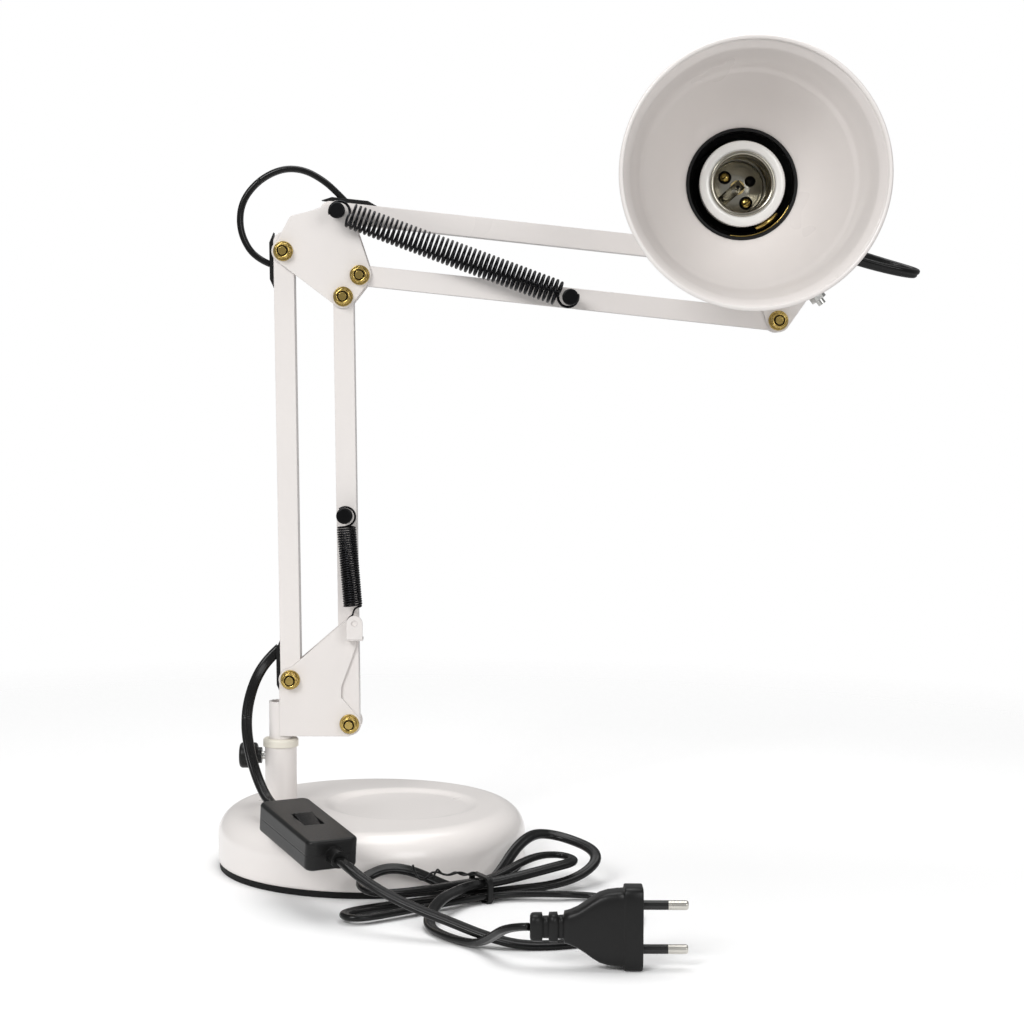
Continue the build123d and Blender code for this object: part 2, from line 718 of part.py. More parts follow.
def bell(offset):
    """The solid inside the bell's outer surface, moved in by an offset."""
    rim = rim_d / 2 - lip_w / 2 - offset
    x, y = neck_centre.X, rim_y
    step = (x + shade_step_r - offset, y + shade_step_at)
    middle = (x + shade_mid_r - offset, y + shade_mid_at)
    throat = (x + throat_r - offset, y + throat_at)
    tail = (x + throat_r - offset, y + throat_at + collar_len)
    profile = make_face(
        Line((x, y), (x + rim, y)) + Line((x + rim, y), step) + ThreePointArc(step, middle, throat)
        + Line(throat, tail) + Line(tail, (x, y + throat_at + collar_len)) + Line((x, tail[1]), (x, y))
    )
    axis = Axis((x, 0, neck_centre.Z), (0, 1, 0))
    return revolve(Pos(0, 0, neck_centre.Z) * profile, axis)


def make_shade():
    """Bell, neck, lug, gland and the lamp socket, all turned to the shade's rest angle."""
    axis_y = Vector(0, 1, 0)
    at_rim = Vector(neck_centre.X, rim_y, neck_centre.Z)
    lip = Plane(origin=at_rim, z_dir=axis_y) * Torus((rim_d - lip_w) / 2, lip_w / 2)
    shell = bell(0) - bell(bell_wall) + lip
    throat_end = throat_at + collar_len
    neck_end = neck_back - rim_y
    seat_r = throat_r - bell_wall
    neck_points = [
        (0, throat_end - collar_len), (seat_r, throat_end - collar_len), (seat_r, throat_end),
        (neck_r, throat_end + neck_step), (neck_r, neck_end), (0, neck_end),
    ]
    inner_points = [
        (0, throat_end - collar_len), (seat_r - neck_wall, throat_end - collar_len),
        (seat_r - neck_wall, throat_end), (neck_r - neck_wall, throat_end + neck_step),
        (neck_r - neck_wall, neck_end - neck_wall), (0, neck_end - neck_wall),
    ]
    neck = lathe(neck_points)
    neck = fillet(neck.edges().group_by(Axis.Y)[-1], neck_round) - lathe(inner_points)
    back = Vector(neck_centre.X, neck_back, neck_centre.Z)
    neck -= rod(back - axis_y * gland_len, axis_y, gland_d / 2, 2 * gland_len)
    gland = rod(back, axis_y, gland_flange_d / 2, gland_flange_h)
    gland += rod(back - axis_y * neck_wall, axis_y, gland_d / 2, gland_len + neck_wall)
    stem_screw = rod(neck_centre, stem_way, socket_screw_d / 2, neck_r + lug_sheet)
    lug = rod(neck_centre, stem_way, lug_width / 2, neck_r + lug_sheet)
    lug -= lathe([(0, 0), (neck_r, 0), (neck_r, neck_end), (0, neck_end)])
    eye = along(neck_centre, stem_way, tilt_at)
    cross = arm_vector(90 - stem_dip)
    ear_in = stem_eye_t / 2 + tilt_side
    for way in both_ways:
        face = eye + cross * (way * ear_in)
        ear = rod(face, cross * way, stem_eye_r, lug_sheet)
        root = along(neck_centre, stem_way, (tilt_at + neck_r + lug_sheet / 2) / 2)
        tall = tilt_at - neck_r - lug_sheet / 2
        plate = Plane(origin=root + cross * (way * ear_in), x_dir=stem_way, z_dir=cross * way)
        ear += plate * Box(tall, 2 * stem_eye_r, lug_sheet, align=(Align.CENTER, Align.CENTER, Align.MIN))
        lug += ear
    tilt_reach = 2 * (ear_in + lug_sheet)
    bolt_start = eye - cross * (ear_in + lug_sheet)
    tilt = rod(bolt_start - cross * tilt_head_h, cross, bolt_head_d / 2, tilt_head_h)
    tilt += rod(bolt_start, cross, tilt_bolt_d / 2, tilt_reach + tilt_nut_h + tilt_tip)
    tilt_nut = hexagon(bolt_start + cross * tilt_reach, cross, nut_af, tilt_nut_h)
    drill = rod(eye - cross * base_d, cross, tilt_bolt_d / 2, 2 * base_d)
    lug = lug - drill - stem_screw
    neck -= stem_screw
    front_at = socket_front
    ring_end = front_at + socket_ring_len
    end_at = front_at + socket_len
    floor_at = front_at + socket_bore_len
    body = lathe([
        (0, front_at), (socket_d / 2, front_at), (socket_d / 2, ring_end), (socket_waist_d / 2, ring_end),
        (socket_waist_d / 2, end_at), (0, end_at),
    ])
    shell_r = socket_bore_r + shell_wall
    body -= lathe([(0, front_at), (shell_r, front_at), (shell_r, floor_at), (0, floor_at)])
    contact_at = floor_at - contact_h
    shell_end = contact_at - contact_gap
    shell_at = shell_end - shell_len
    tube = lathe([(socket_bore_r, shell_at), (shell_r, shell_at), (shell_r, shell_end), (socket_bore_r, shell_end)])
    contact = lathe([(0, contact_at), (contact_r, contact_at), (contact_r, floor_at), (0, floor_at)])
    strap_in = neck_r - neck_wall
    strap = Pos(neck_centre.X, rim_y + end_at + strap_t / 2, neck_centre.Z) * Rot(0, stem_dip, 0) * Box(
        2 * socket_screw_pitch, strap_t, strap_w)
    strap &= lathe([(0, 0), (strap_in, 0), (strap_in, neck_end), (0, neck_end)])
    leg_len = end_at + strap_t + rim_y + strap_w / 2
    leg = Plane(origin=neck_centre, x_dir=(0, 1, 0), z_dir=stem_way) * Box(
        2 * leg_len, strap_w, strap_in, align=(Align.CENTER, Align.CENTER, Align.MIN))
    ring = lathe([(strap_in - strap_t, 0), (strap_in, 0), (strap_in, neck_end), (strap_in - strap_t, neck_end)])
    strap += leg & ring
    screws = []
    for way in both_ways:
        spot = Vector(neck_centre.X, rim_y + end_at + strap_t, neck_centre.Z)
        spot += stem_way * (way * socket_screw_pitch / 2)
        screw = rod(spot, axis_y, socket_screw_head_d / 2, socket_screw_head_h)
        shank = rod(spot, -axis_y, socket_screw_d / 2, socket_len - socket_bore_len)
        strap -= shank
        body -= shank
        screws.append(screw + shank)
    screw_from = strap_in - strap_t - screw_seat
    screw_spot = along(neck_centre, stem_way, screw_from)
    lug_screw = rod(screw_spot, -stem_way, socket_screw_head_d / 2, socket_screw_head_h)
    lug_screw += rod(screw_spot, stem_way, socket_screw_d / 2, neck_r + lug_sheet - screw_from)
    strap -= stem_screw
    nodes = {
        "shade_bell": [shell], "shade_neck": [neck], "neck_gland": [gland], "neck_lug": [lug],
        "tilt_bolt": [tilt, tilt_nut - drill], "socket_body": [body], "screw_shell": [tube],
        "centre_contact": [contact], "socket_strap": [strap], "socket_screws": [*screws, lug_screw],
    }
    for name, solids in nodes.items():
        keep(name, *[shade_turned(solid) for solid in solids])


def tube_along(name, points, diameter):
    """A cord's tube: straight runs joined by arcs as large as the shorter run at each corner allows."""
    radii = []
    for before, corner, after in zip(points, points[1:], points[2:]):
        first, second = corner - before, after - corner
        turn = math.radians(first.get_angle(second))
        radii.append(0.45 * min(first.length, second.length) / math.tan(turn / 2))
    path = FilletPolyline(*points, radius=radii)
    section = Plane(origin=path @ 0, z_dir=path % 0) * Circle(diameter / 2)
    tube = sweep(section, path)
    keep(name, tube)
    ideal = path.length * math.pi * diameter ** 2 / 4
    print(name, "length", round(path.length), "least radius", round(min(radii), 1), "fill", round(tube.volume / ideal, 3))


def switch_plane():
    """The switch's own frame: X along the case towards the plug's cord, Z out of its top."""
    turn, dip = math.radians(switch_turn), math.radians(switch_dip)
    way = Vector(math.sin(turn) * math.cos(dip), -math.cos(turn) * math.cos(dip), -math.sin(dip))
    side = Vector(0, 0, 1).cross(way).normalized()
    return Plane(origin=(switch_x, switch_y, switch_z), x_dir=way, z_dir=way.cross(side))


def case_half(low, high, inset):
    """A slab of the switch's case between two heights, with round corners in plan."""
    outline = RectangleRounded(switch_l - 2 * inset, switch_w - 2 * inset, switch_round - inset / 2)
    return extrude(Pos(0, 0, low) * outline, high - low)


def make_switch():
    """The inline rocker switch: two case halves, the rocker on its pivot and the terminals inside."""
    seat = switch_plane()
    bottom, top = -switch_h / 2, switch_h / 2
    seam = bottom + switch_seam
    lower = case_half(bottom, seam, 0)
    lower = fillet(lower.edges().group_by(Axis.Z)[0], switch_wall)
    lower -= case_half(bottom + switch_wall, seam, switch_wall)
    upper = case_half(seam, top, 0)
    upper = fillet(upper.edges().group_by(Axis.Z)[-1], switch_wall)
    upper -= case_half(seam, top - switch_wall, switch_wall)
    window = Pos(0, 0, top) * Box(rocker_l + 2 * rocker_fit, rocker_w + 2 * rocker_fit, 2 * switch_wall + rocker_fit)
    upper -= window
    pivot_z = top - rocker_h / 2
    pivot = Pos(0, 0, pivot_z) * Rot(90, 0, 0) * Cylinder(rocker_pivot_d / 2, switch_w - 2 * switch_wall - 2 * seat_gap)
    half = rocker_l / 2
    profile = Polygon(
        (-half, pivot_z - rocker_proud), (half, pivot_z - rocker_proud), (half, top - rocker_proud),
        (0, top), (-half, top + rocker_proud), align=None,
    )
    rocker = extrude(Plane.XZ * profile, rocker_w / 2, both=True)
    sweep_space = Pos(0, 0, pivot_z) * Rot(90, 0, 0) * Cylinder((rocker_l + rocker_fit) / 2, switch_w)
    rocker = (rocker & sweep_space) + pivot
    floor_z = bottom + switch_wall
    terminals = []
    for way in both_ways:
        spot = Pos(way * terminal_gap, 0, floor_z)
        block = spot * Box(terminal_l, terminal_w, terminal_h, align=(Align.CENTER, Align.CENTER, Align.MIN))
        terminals.append(block)
    noses = []
    for way in both_ways:
        start = Vector(way * switch_l / 2, 0, 0)
        noses.append(rod(start, (way, 0, 0), switch_nose_d / 2, switch_nose_l))
    for way in both_ways:
        ear = Pos(0, way * (switch_w / 2 - switch_wall - rocker_pivot_d / 2), pivot_z)
        cheek = ear * Box(2 * rocker_pivot_d, rocker_pivot_d, 2 * rocker_pivot_d)
        upper += cheek - pivot_bore(pivot_z)
    keep("switch_lower", seat * (lower + noses[0].cut(case_above(seam)) + noses[1].cut(case_above(seam))))
    keep("switch_upper", seat * (upper + noses[0].cut(case_below(seam)) + noses[1].cut(case_below(seam))))
    keep("switch_rocker", seat * rocker)
    keep("switch_terminals", *[seat * block for block in terminals])


def pivot_bore(pivot_z):
    """The running bore of the rocker's pivot."""
    return Pos(0, 0, pivot_z) * Rot(90, 0, 0) * Cylinder(rocker_pivot_d / 2 + run_fit, switch_w)


def case_above(seam):
    """The space above the switch's seam."""
    return Pos(0, 0, seam) * Box(2 * switch_l, 2 * switch_w, switch_h, align=(Align.CENTER, Align.CENTER, Align.MIN))


def case_below(seam):
    """The space below the switch's seam."""
    return Pos(0, 0, seam) * Box(2 * switch_l, 2 * switch_w, switch_h, align=(Align.CENTER, Align.CENTER, Align.MAX))


def make_plug():
    """A flat two-pin plug that stands on its edge, with its pins along +X."""
    middle = plug_tall / 2
    back = plug_x - plug_len
    shoulder = plug_x - plug_face
    outline = Polygon(
        (plug_x, 0), (plug_x, plug_tall), (shoulder, plug_tall), (back, middle + plug_tail_h / 2),
        (back, middle - plug_tail_h / 2), (shoulder, 0), align=None,
    )
    body = slab(outline, plug_y - plug_t / 2, plug_t)
    body = chamfer(body.faces().filter_by(Axis.Y).edges(), plug_edge)
    body += rod((back, plug_y, middle), (-1, 0, 0), plug_tail_d / 2, plug_tail_l)
    pins = []
    for way in both_ways:
        root = Vector(plug_x - pin_root, plug_y, middle + way * pin_pitch / 2)
        pin = rod(root, (1, 0, 0), pin_d / 2, pin_root + pin_len)
        body -= pin
        pins.append(fillet(pin.edges().group_by(Axis.X)[-1], pin_d / 4))
    keep("plug_body", body)
    keep("plug_pins", *pins)


def heading_vector(angle):
    """A unit vector on the floor, counted from +X towards +Y in degrees."""
    return Vector(math.cos(math.radians(angle)), math.sin(math.radians(angle)), 0)


def hank_stations():
    """The hank's points with its direction at each: the waist seats and three stations a loop."""
    way = heading_vector(hank_heading)
    side = heading_vector(hank_heading + 90)
    waist = Vector(hank_x, hank_y, hank_floor)
    seats = [waist + side * (a * hank_pitch) + Vector(0, 0, b * hank_pitch) for a, b in hank_seat_shares]
    arm_in, way_in, arm_out, way_out = [heading_vector(angle) for angle in hank_ends]
    stations = [(seats[0] + arm_in * hank_arm, way_in), (seats[0], -way)]
    for k, (reach, angle, half, turn, *heights) in enumerate(hank_loops):
        out = heading_vector(angle)
        left = heading_vector(angle + 90) * turn
        ground = Vector(hank_x, hank_y, 0)
        spots = [(hank_mid_share, 1, out), (1, 0, -left), (hank_mid_share, -1, -out)]
        for (share, lateral, direction), height in zip(spots, heights):
            spot = ground + out * (share * reach) + left * (lateral * half) + Vector(0, 0, height)
            stations.append((spot, direction))
        stations.append((seats[k + 1], way if k % 2 == 0 else -way))
    stations.append((seats[-1] + arm_out * hank_arm, way_out))
    return stations


def make_hank():
    """The tied hank as one unbroken tube of arcs, and the tie round its waist."""
    stations = hank_stations()
    first, last = stations[0], stations[-1]
    edges = [Edge.make_line(first[0], first[0] + first[1] * cord_d)]
    stations[0] = (first[0] + first[1] * cord_d, first[1])
    stations[-1] = (last[0] - last[1] * cord_d, last[1])
    for (start, start_way), (end, end_way) in zip(stations, stations[1:]):
        edges += biarc(start, start_way, end, end_way)
    edges.append(Edge.make_line(stations[-1][0], last[0]))
    keep("cord_hank", tube_on(edges, cord_d))
    length = sum(edge.length for edge in edges)
    print("cord_hank length", round(length), "gap", round(self_gap(edges, cord_d, gap_step), 2))
    way = heading_vector(hank_heading)
    wide = 2 * hank_pitch + cord_d + 2 * tie_gap
    tall = hank_seat_shares[-1][1] * hank_pitch + cord_d + 2 * tie_gap
    centre = Vector(hank_x, hank_y, hank_floor + hank_seat_shares[-1][1] * hank_pitch / 2)
    seat = Plane(origin=centre - way * (tie_w / 2), x_dir=(-way.Y, way.X, 0), z_dir=way)
    outer = RectangleRounded(wide + 2 * tie_t, tall + 2 * tie_t, cord_d / 2 + tie_t)
    band = outer - RectangleRounded(wide, tall, cord_d / 2)
    keep("cord_tie", extrude(seat * band, tie_w))


def make_cords():
    """The free stretches of cord and the two loops of lead at the arm's joints."""
    seat = switch_plane()
    way = seat.x_dir
    reach = switch_l / 2 + switch_nose_l
    centre = seat.origin
    left = arm_vector(180 - lower_lean)
    up = arm_vector(90 - upper_droop)
    proud = bar_w / 2 + grommet_proud
    bar_entry = rear_low + lower_way * rear_exit_at + left * proud
    stations = hank_stations()
    arm_points = [centre - way * reach, centre - way * (reach + cord_stub)]
    arm_points += [Vector(p) for p in arm_route] + [bar_entry + left * cord_stub, bar_entry]
    tube_along("arm_cord", arm_points, cord_d)
    switch_points = [centre + way * reach, centre + way * (reach + cord_stub)]
    switch_points += [Vector(p) for p in switch_route]
    hank_start, hank_way = stations[0]
    switch_points += [hank_start - hank_way * cord_stub, hank_start]
    tube_along("switch_cord", switch_points, cord_d)
    tail = Vector(plug_x - plug_len - plug_tail_l, plug_y, plug_tall / 2)
    hank_end, hank_way = stations[-1]
    plug_points = [hank_end, hank_end + hank_way * cord_stub] + [Vector(p) for p in plug_route]
    plug_points += [tail - Vector(cord_stub, 0, 0), tail]
    tube_along("plug_cord", plug_points, cord_d)
    rear_exit = rear_high - lower_way * rear_exit_at + left * proud
    top_exit = top_root + upper_way * top_exit_at + up * proud
    elbow_points = [rear_exit, rear_exit + left * loop_stub] + [Vector(p) for p in elbow_route] + [top_exit + up * loop_stub, top_exit]
    tube_along("elbow_lead", elbow_points, lead_d)
    head_exit = top_root + upper_way * head_exit_at + up * proud
    gland_way = shade_turned(Vector(0, 1, 0))
    gland_end = neck_centre + gland_way * (neck_back + gland_len)
    head_points = [head_exit, head_exit + up * loop_stub] + [Vector(p) for p in head_route]
    tube_along("head_lead", head_points + [gland_end + gland_way * gland_stub, gland_end], lead_d)


make_base()
make_clamp()
make_lower_bracket()
make_arms()
make_head()
make_shade()
make_switch()
make_plug()
make_hank()
make_cords()

os.makedirs("parts", exist_ok=True)
for name, shape in parts.items():
    export_step(shape, "parts/" + name + ".step")
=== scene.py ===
"""Dresses the articulated table lamp: cords, springs, shade, base, socket, plug, nuts and finishes."""

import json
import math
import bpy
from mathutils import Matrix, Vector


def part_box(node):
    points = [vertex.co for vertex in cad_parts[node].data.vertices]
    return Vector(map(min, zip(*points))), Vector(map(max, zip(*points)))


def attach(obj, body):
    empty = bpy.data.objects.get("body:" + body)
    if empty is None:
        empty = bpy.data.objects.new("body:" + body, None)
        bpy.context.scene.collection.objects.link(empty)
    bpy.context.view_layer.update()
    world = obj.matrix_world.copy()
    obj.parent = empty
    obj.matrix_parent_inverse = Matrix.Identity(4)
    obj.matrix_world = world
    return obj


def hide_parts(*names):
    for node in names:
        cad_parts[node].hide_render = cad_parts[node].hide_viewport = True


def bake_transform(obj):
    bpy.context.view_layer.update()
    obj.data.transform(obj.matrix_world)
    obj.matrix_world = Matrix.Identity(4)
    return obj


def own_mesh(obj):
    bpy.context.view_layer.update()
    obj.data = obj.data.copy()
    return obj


bl_info = {
    "name": "Articulated table lamp",
    "version": (1, 0, 0),
    "blender": (4, 5, 0),
    "location": "View3D > Sidebar > Lamp",
    "description": "Builds the looks of a spring-balanced table lamp round its packed frame",
    "category": "Object",
}

import bmesh
import bpy
import numpy as np
from bpy.props import FloatProperty, FloatVectorProperty, IntProperty, PointerProperty
from mathutils import Matrix, Vector

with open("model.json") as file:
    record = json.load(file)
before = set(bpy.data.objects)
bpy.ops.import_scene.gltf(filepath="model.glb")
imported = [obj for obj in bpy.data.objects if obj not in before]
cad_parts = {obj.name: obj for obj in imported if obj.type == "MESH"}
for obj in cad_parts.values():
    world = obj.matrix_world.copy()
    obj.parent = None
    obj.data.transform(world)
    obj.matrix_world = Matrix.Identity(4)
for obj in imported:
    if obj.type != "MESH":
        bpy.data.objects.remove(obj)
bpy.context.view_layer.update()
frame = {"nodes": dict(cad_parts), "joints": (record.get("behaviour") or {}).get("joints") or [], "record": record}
MM = 0.001
WHOLE_TURN = 2 * math.pi

# Places on the lamp that the frame's joints give, in metres
joint_at = {joint["name"]: joint for joint in frame["joints"]}
neck_centre = np.array(joint_at["shade_swivel"]["pos_m"])
top_root = np.array(joint_at["upper_arm"]["pos_m"])
mounts = {mount["name"]: mount for mount in frame["record"]["mounts"]}
shade_way = -np.array(mounts["lamp_socket"]["axis"])

# Cord routes, points in millimetres: the frame's routes, moved a little towards the photograph's line
arm_route = [
    (-42.207, -54.698, 38.431), (-46.40, -46.81, 39.53), (-50.6, -40.6, 44.2), (-54.8, -34.8, 52.0),
    (-58.2, -29.2, 61.4), (-60.6, -22.4, 71.4), (-61.0, -15.0, 80.2), (-59.4, -8.4, 89.0), (-56.4, -3.6, 96.6),
    (-51.6, -0.8, 103.4), (-46.2, 0.0, 108.4),
]
switch_route = [
    (-6.793, -121.302, 29.169), (-2.60, -129.19, 28.07), (4.6, -134.0, 23.4), (15.0, -140.4, 18.6),
    (28.6, -146.0, 13.6), (43.0, -151.0, 9.4), (58.0, -157.6, 5.0), (74.0, -162.4, 1.9), (93.0, -160.4, 1.9),
    (111.0, -150.6, 1.9), (123.4, -134.0, 1.9), (127.6, -113.0, 1.9), (124.0, -92.0, 1.9), (112.6, -78.6, 2.2),
    (100.0, -77.0, 2.6), (91.24, -78.64, 3.2), (82.276, -77.860, 3.2),
]
plug_route = [
    (42.624, -99.337, 8.52), (38.82, -107.49, 8.52), (34.8, -117.6, 6.4), (33.0, -127.0, 3.2),
    (35.0, -136.4, 1.9), (41.0, -146.4, 1.9), (48.4, -155.4, 2.0), (56.2, -163.8, 3.4), (61.6, -173.4, 8.6),
    (68.6, -187.4, 17.0), (77.5, -190.0, 17.65),
]
elbow_route = [
    (-50.337, 0.0, 300.192), (-54.6, 0.0, 301.8), (-61.2, 0.0, 307.4), (-65.6, 0.0, 318.2),
    (-64.4, 0.0, 330.8), (-56.2, 0.0, 341.2), (-44.6, 0.0, 347.2), (-33.6, 0.0, 346.8), (-23.6, 0.0, 341.4),
    (-16.2, 0.0, 334.6), (-10.8, 0.0, 329.0),
]
head_route = [
    (144.068, 0.0, 316.002), (144.796, 0.0, 322.964), (143.0, 9.0, 328.6), (141.0, 28.0, 334.0),
    (148.6, 49.0, 336.0), (170.0, 63.0, 332.6), (200.0, 67.6, 324.2), (228.0, 62.4, 314.0), (250.0, 61.6, 306.2),
    (265.6, 61.0, 302.0), (278.0, 62.6, 299.6), (285.4, 71.0, 299.6), (280.4, 81.0, 302.4), (266.0, 86.0, 307.0),
    (244.0, 87.2, 314.2), (219.0, 85.6, 322.6), (199.0, 79.0, 331.0), (181.55, 58.997, 339.02),
    (181.435, 44.998, 338.932),
]

# Hank, in millimetres and degrees; a loop's row: reach, heading, half width, side, heights out, at its tip and back
hank_waist = (56.0, -78.0, 3.2)
hank_heading = 30.0
hank_pitch = 5.6
hank_hold = 8.0
hank_mid_share = 0.66
hank_seat_shares = [(-1.0, 0.0), (0.0, 0.0), (1.0, 0.0), (0.5, 0.95), (-0.5, 0.95)]
hank_loops = [
    (73.0, 215.0, 6.5, 1, 3.0, 3.0, 3.0),
    (66.0, 43.0, 17.0, -1, 4.0, 18.0, 22.0),
    (57.0, 197.0, 9.5, -1, 18.0, 9.5, 9.0),
    (53.0, 37.0, 6.5, 1, 15.0, 13.0, 11.4),
]

# Springs, in millimetres: middle radius of the coil, wire, radii of the two pins, and free runs at the two ends
spring_plane = -13.0
ear_from_pivot = (32.6, spring_plane, 29.1)
lower_wind = {"radius": 4.29, "wire": 1.02, "pins": (3.9, 2.4), "leads": (0.8, 5.0)}
upper_wind = {"radius": 5.85, "wire": 1.3, "pins": (3.9, 3.9), "leads": (0.8, 0.4)}
hook_points = 26
hook_run = hook_points + 10
shank_far, shank_near = 24.0, 6.6

# Plug pins: the bare tip's length in metres and its plating
bare_tip = 8.4 * MM
pin_plating = (0.66, 0.64, 0.59)

# Camera at the photograph's place: metres, degrees, and millimetres of lens
camera_at = (0.0672, -1.0525, 0.2502)
camera_yaw, camera_pitch, camera_roll = -0.156, 3.963, 0.204
camera_lens = 74.13
lights_aim = (0.07, 0.0, 0.2)


class LampSizes(bpy.types.PropertyGroup):
    """Sizes of the dressed pieces that a user may change."""

    cord_width: FloatProperty(name="Cord width", description="Width of the flat twin cord",
                              default=5.4 * MM, unit="LENGTH")
    cord_thickness: FloatProperty(name="Cord thickness", description="Thickness of the flat twin cord",
                                  default=3.4 * MM, unit="LENGTH")
    lower_coils: IntProperty(name="Lower coils", description="Coils of the lower spring", default=34)
    upper_coils: IntProperty(name="Upper coils", description="Coils of the upper spring", default=46)
    lip: FloatProperty(name="Rim lip", description="Thickness of the shade's rolled rim",
                       default=2.2 * MM, unit="LENGTH")
    thread_pitch: FloatProperty(name="Thread pitch", description="Pitch of the lamp socket's rolled thread",
                                default=3.62 * MM, unit="LENGTH")


class LampColours(bpy.types.PropertyGroup):
    """Colours of the lamp's finishes."""

    paint: FloatVectorProperty(name="Paint", description="Powder coat of the sheet parts", subtype="COLOR",
                               default=(0.83, 0.79, 0.765))
    black: FloatVectorProperty(name="Black", description="Moulded black parts", subtype="COLOR",
                               default=(0.005, 0.005, 0.005))
    zinc: FloatVectorProperty(name="Yellow zinc", description="Plated nuts and strap", subtype="COLOR",
                              default=(0.58, 0.42, 0.13))
    nylon: FloatVectorProperty(name="Nylon", description="Collar and sleeves", subtype="COLOR",
                               default=(0.84, 0.80, 0.70))
    porcelain: FloatVectorProperty(name="Porcelain", description="Glazed lamp socket", subtype="COLOR",
                                   default=(0.84, 0.83, 0.80))


# Shader maths


class Value:
    """A number socket of a node tree: operators on it add Math nodes."""

    def __init__(self, finish, socket):
        self.finish = finish
        self.socket = socket

    def maths(self, operation, first, second):
        """One Math node with two inputs, each a value or a number."""
        return self.finish.node("ShaderNodeMath", {"operation": operation}, {0: first, 1: second}, 0)

    def __add__(self, other):
        return self.maths("ADD", self, other)

    def __radd__(self, other):
        return self.maths("ADD", other, self)

    def __sub__(self, other):
        return self.maths("SUBTRACT", self, other)

    def __rsub__(self, other):
        return self.maths("SUBTRACT", other, self)

    def __mul__(self, other):
        return self.maths("MULTIPLY", self, other)

    def __rmul__(self, other):
        return self.maths("MULTIPLY", other, self)


class Finish:
    """A material under construction, with one method for every kind of node."""

    def __init__(self, name):
        self.material = bpy.data.materials.new(name)
        self.material.use_nodes = True
        self.tree = self.material.node_tree
        self.surface = self.tree.nodes["Principled BSDF"]

    def put(self, socket, value):
        """Sets a socket to a number, or links a value or a socket to it."""
        if isinstance(value, Value):
            self.tree.links.new(value.socket, socket)
        elif isinstance(value, bpy.types.NodeSocket):
            self.tree.links.new(value, socket)
        else:
            socket.default_value = value

    def node(self, kind, settings, inputs, output):
        """A node with its settings and inputs; output names the socket that it gives as a value."""
        made = self.tree.nodes.new(kind)
        for key, value in settings.items():
            setattr(made, key, value)
        for key, value in inputs.items():
            self.put(made.inputs[key], value)
        return Value(self, made.outputs[output])

    def place(self, scale):
        """Object coordinates stretched by a scale for each axis."""
        spot = self.node("ShaderNodeTexCoord", {}, {}, "Object")
        return self.node("ShaderNodeMapping", {}, {"Vector": spot, "Scale": scale}, "Vector")

    def noise(self, scale, detail=3.0, stretch=(1.0, 1.0, 1.0)):
        """Cloudy noise from 0 to 1; scale is in waves a metre."""
        inputs = {"Vector": self.place(stretch), "Scale": scale, "Detail": detail}
        return self.node("ShaderNodeTexNoise", {}, inputs, "Fac")

    def mix(self, factor, first, second):
        """A colour between two colours."""
        made = self.tree.nodes.new("ShaderNodeMix")
        made.data_type = "RGBA"
        for socket, value in zip((made.inputs[0], made.inputs[6], made.inputs[7]), (factor, first, second)):
            self.put(socket, value)
        return Value(self, made.outputs[2])

    def ramp(self, value, low, high):
        """A value stretched so that low becomes 0 and high becomes 1, and held between them."""
        inputs = {"Value": value, "From Min": low, "From Max": high}
        return self.node("ShaderNodeMapRange", {"clamp": True}, inputs, "Result")

    def bumped(self, height, depth, rounding=0.0):
        """A normal with a height field of a depth in metres, on edges rounded by a radius."""
        inputs = {"Height": height, "Distance": depth, "Strength": 1.0}
        if rounding:
            inputs["Normal"] = self.node("ShaderNodeBevel", {"samples": 6}, {"Radius": rounding}, "Normal")
        return self.node("ShaderNodeBump", {}, inputs, "Normal")

    def set(self, **inputs):
        """Sets the surface's own sockets; underscores stand for spaces."""
        for key, value in inputs.items():
            self.put(self.surface.inputs[key.replace("_", " ")], value)
        return self.material


def shade_of(colour, factor):
    """A colour made lighter or darker by a factor, with full alpha."""
    return (*[min(1.0, channel * factor) for channel in colour], 1.0)


def paint_finish(name, colour):
    """Gloss powder coat: slow tone changes, fine orange peel and a few dust specks."""
    made = Finish(name)
    cloud = made.noise(14.0)
    dust = made.ramp(made.noise(1900.0, 1.0), 0.74, 0.80)
    tone = made.mix(cloud, shade_of(colour, 0.965), shade_of(colour, 1.02))
    peel = made.noise(620.0, 2.0)
    return made.set(
        Base_Color=made.mix(dust * 0.08, tone, shade_of(colour, 0.6)),
        Roughness=0.24 + cloud * 0.10, Coat_Weight=0.35, Coat_Roughness=0.12, IOR=1.48,
        Normal=made.bumped(peel, 0.00003, 0.0006),
    )


def black_finish(name, colour, rough, grain, depth, rounding):
    """Moulded black plastic or rubber: spark-eroded grain and faint handling marks."""
    made = Finish(name)
    cloud = made.noise(32.0)
    texture = made.noise(grain, 2.0)
    return made.set(
        Base_Color=made.mix(cloud, shade_of(colour, 0.75), shade_of(colour, 1.8)),
        Roughness=rough + cloud * 0.12 + texture * 0.06, IOR=1.5, Specular_IOR_Level=0.25,
        Normal=made.bumped(texture, depth, rounding),
    )


def metal_finish(name, colour, rough, stretch, depth):
    """Plated or bare metal: drawn lines along one axis over cloudy tone."""
    made = Finish(name)
    cloud = made.noise(60.0)
    lines = made.noise(900.0, 3.0, stretch)
    return made.set(
        Base_Color=made.mix(cloud, shade_of(colour, 0.82), shade_of(colour, 1.1)),
        Metallic=1.0, Roughness=rough + lines * 0.16, Normal=made.bumped(lines, depth, 0.0003),
    )


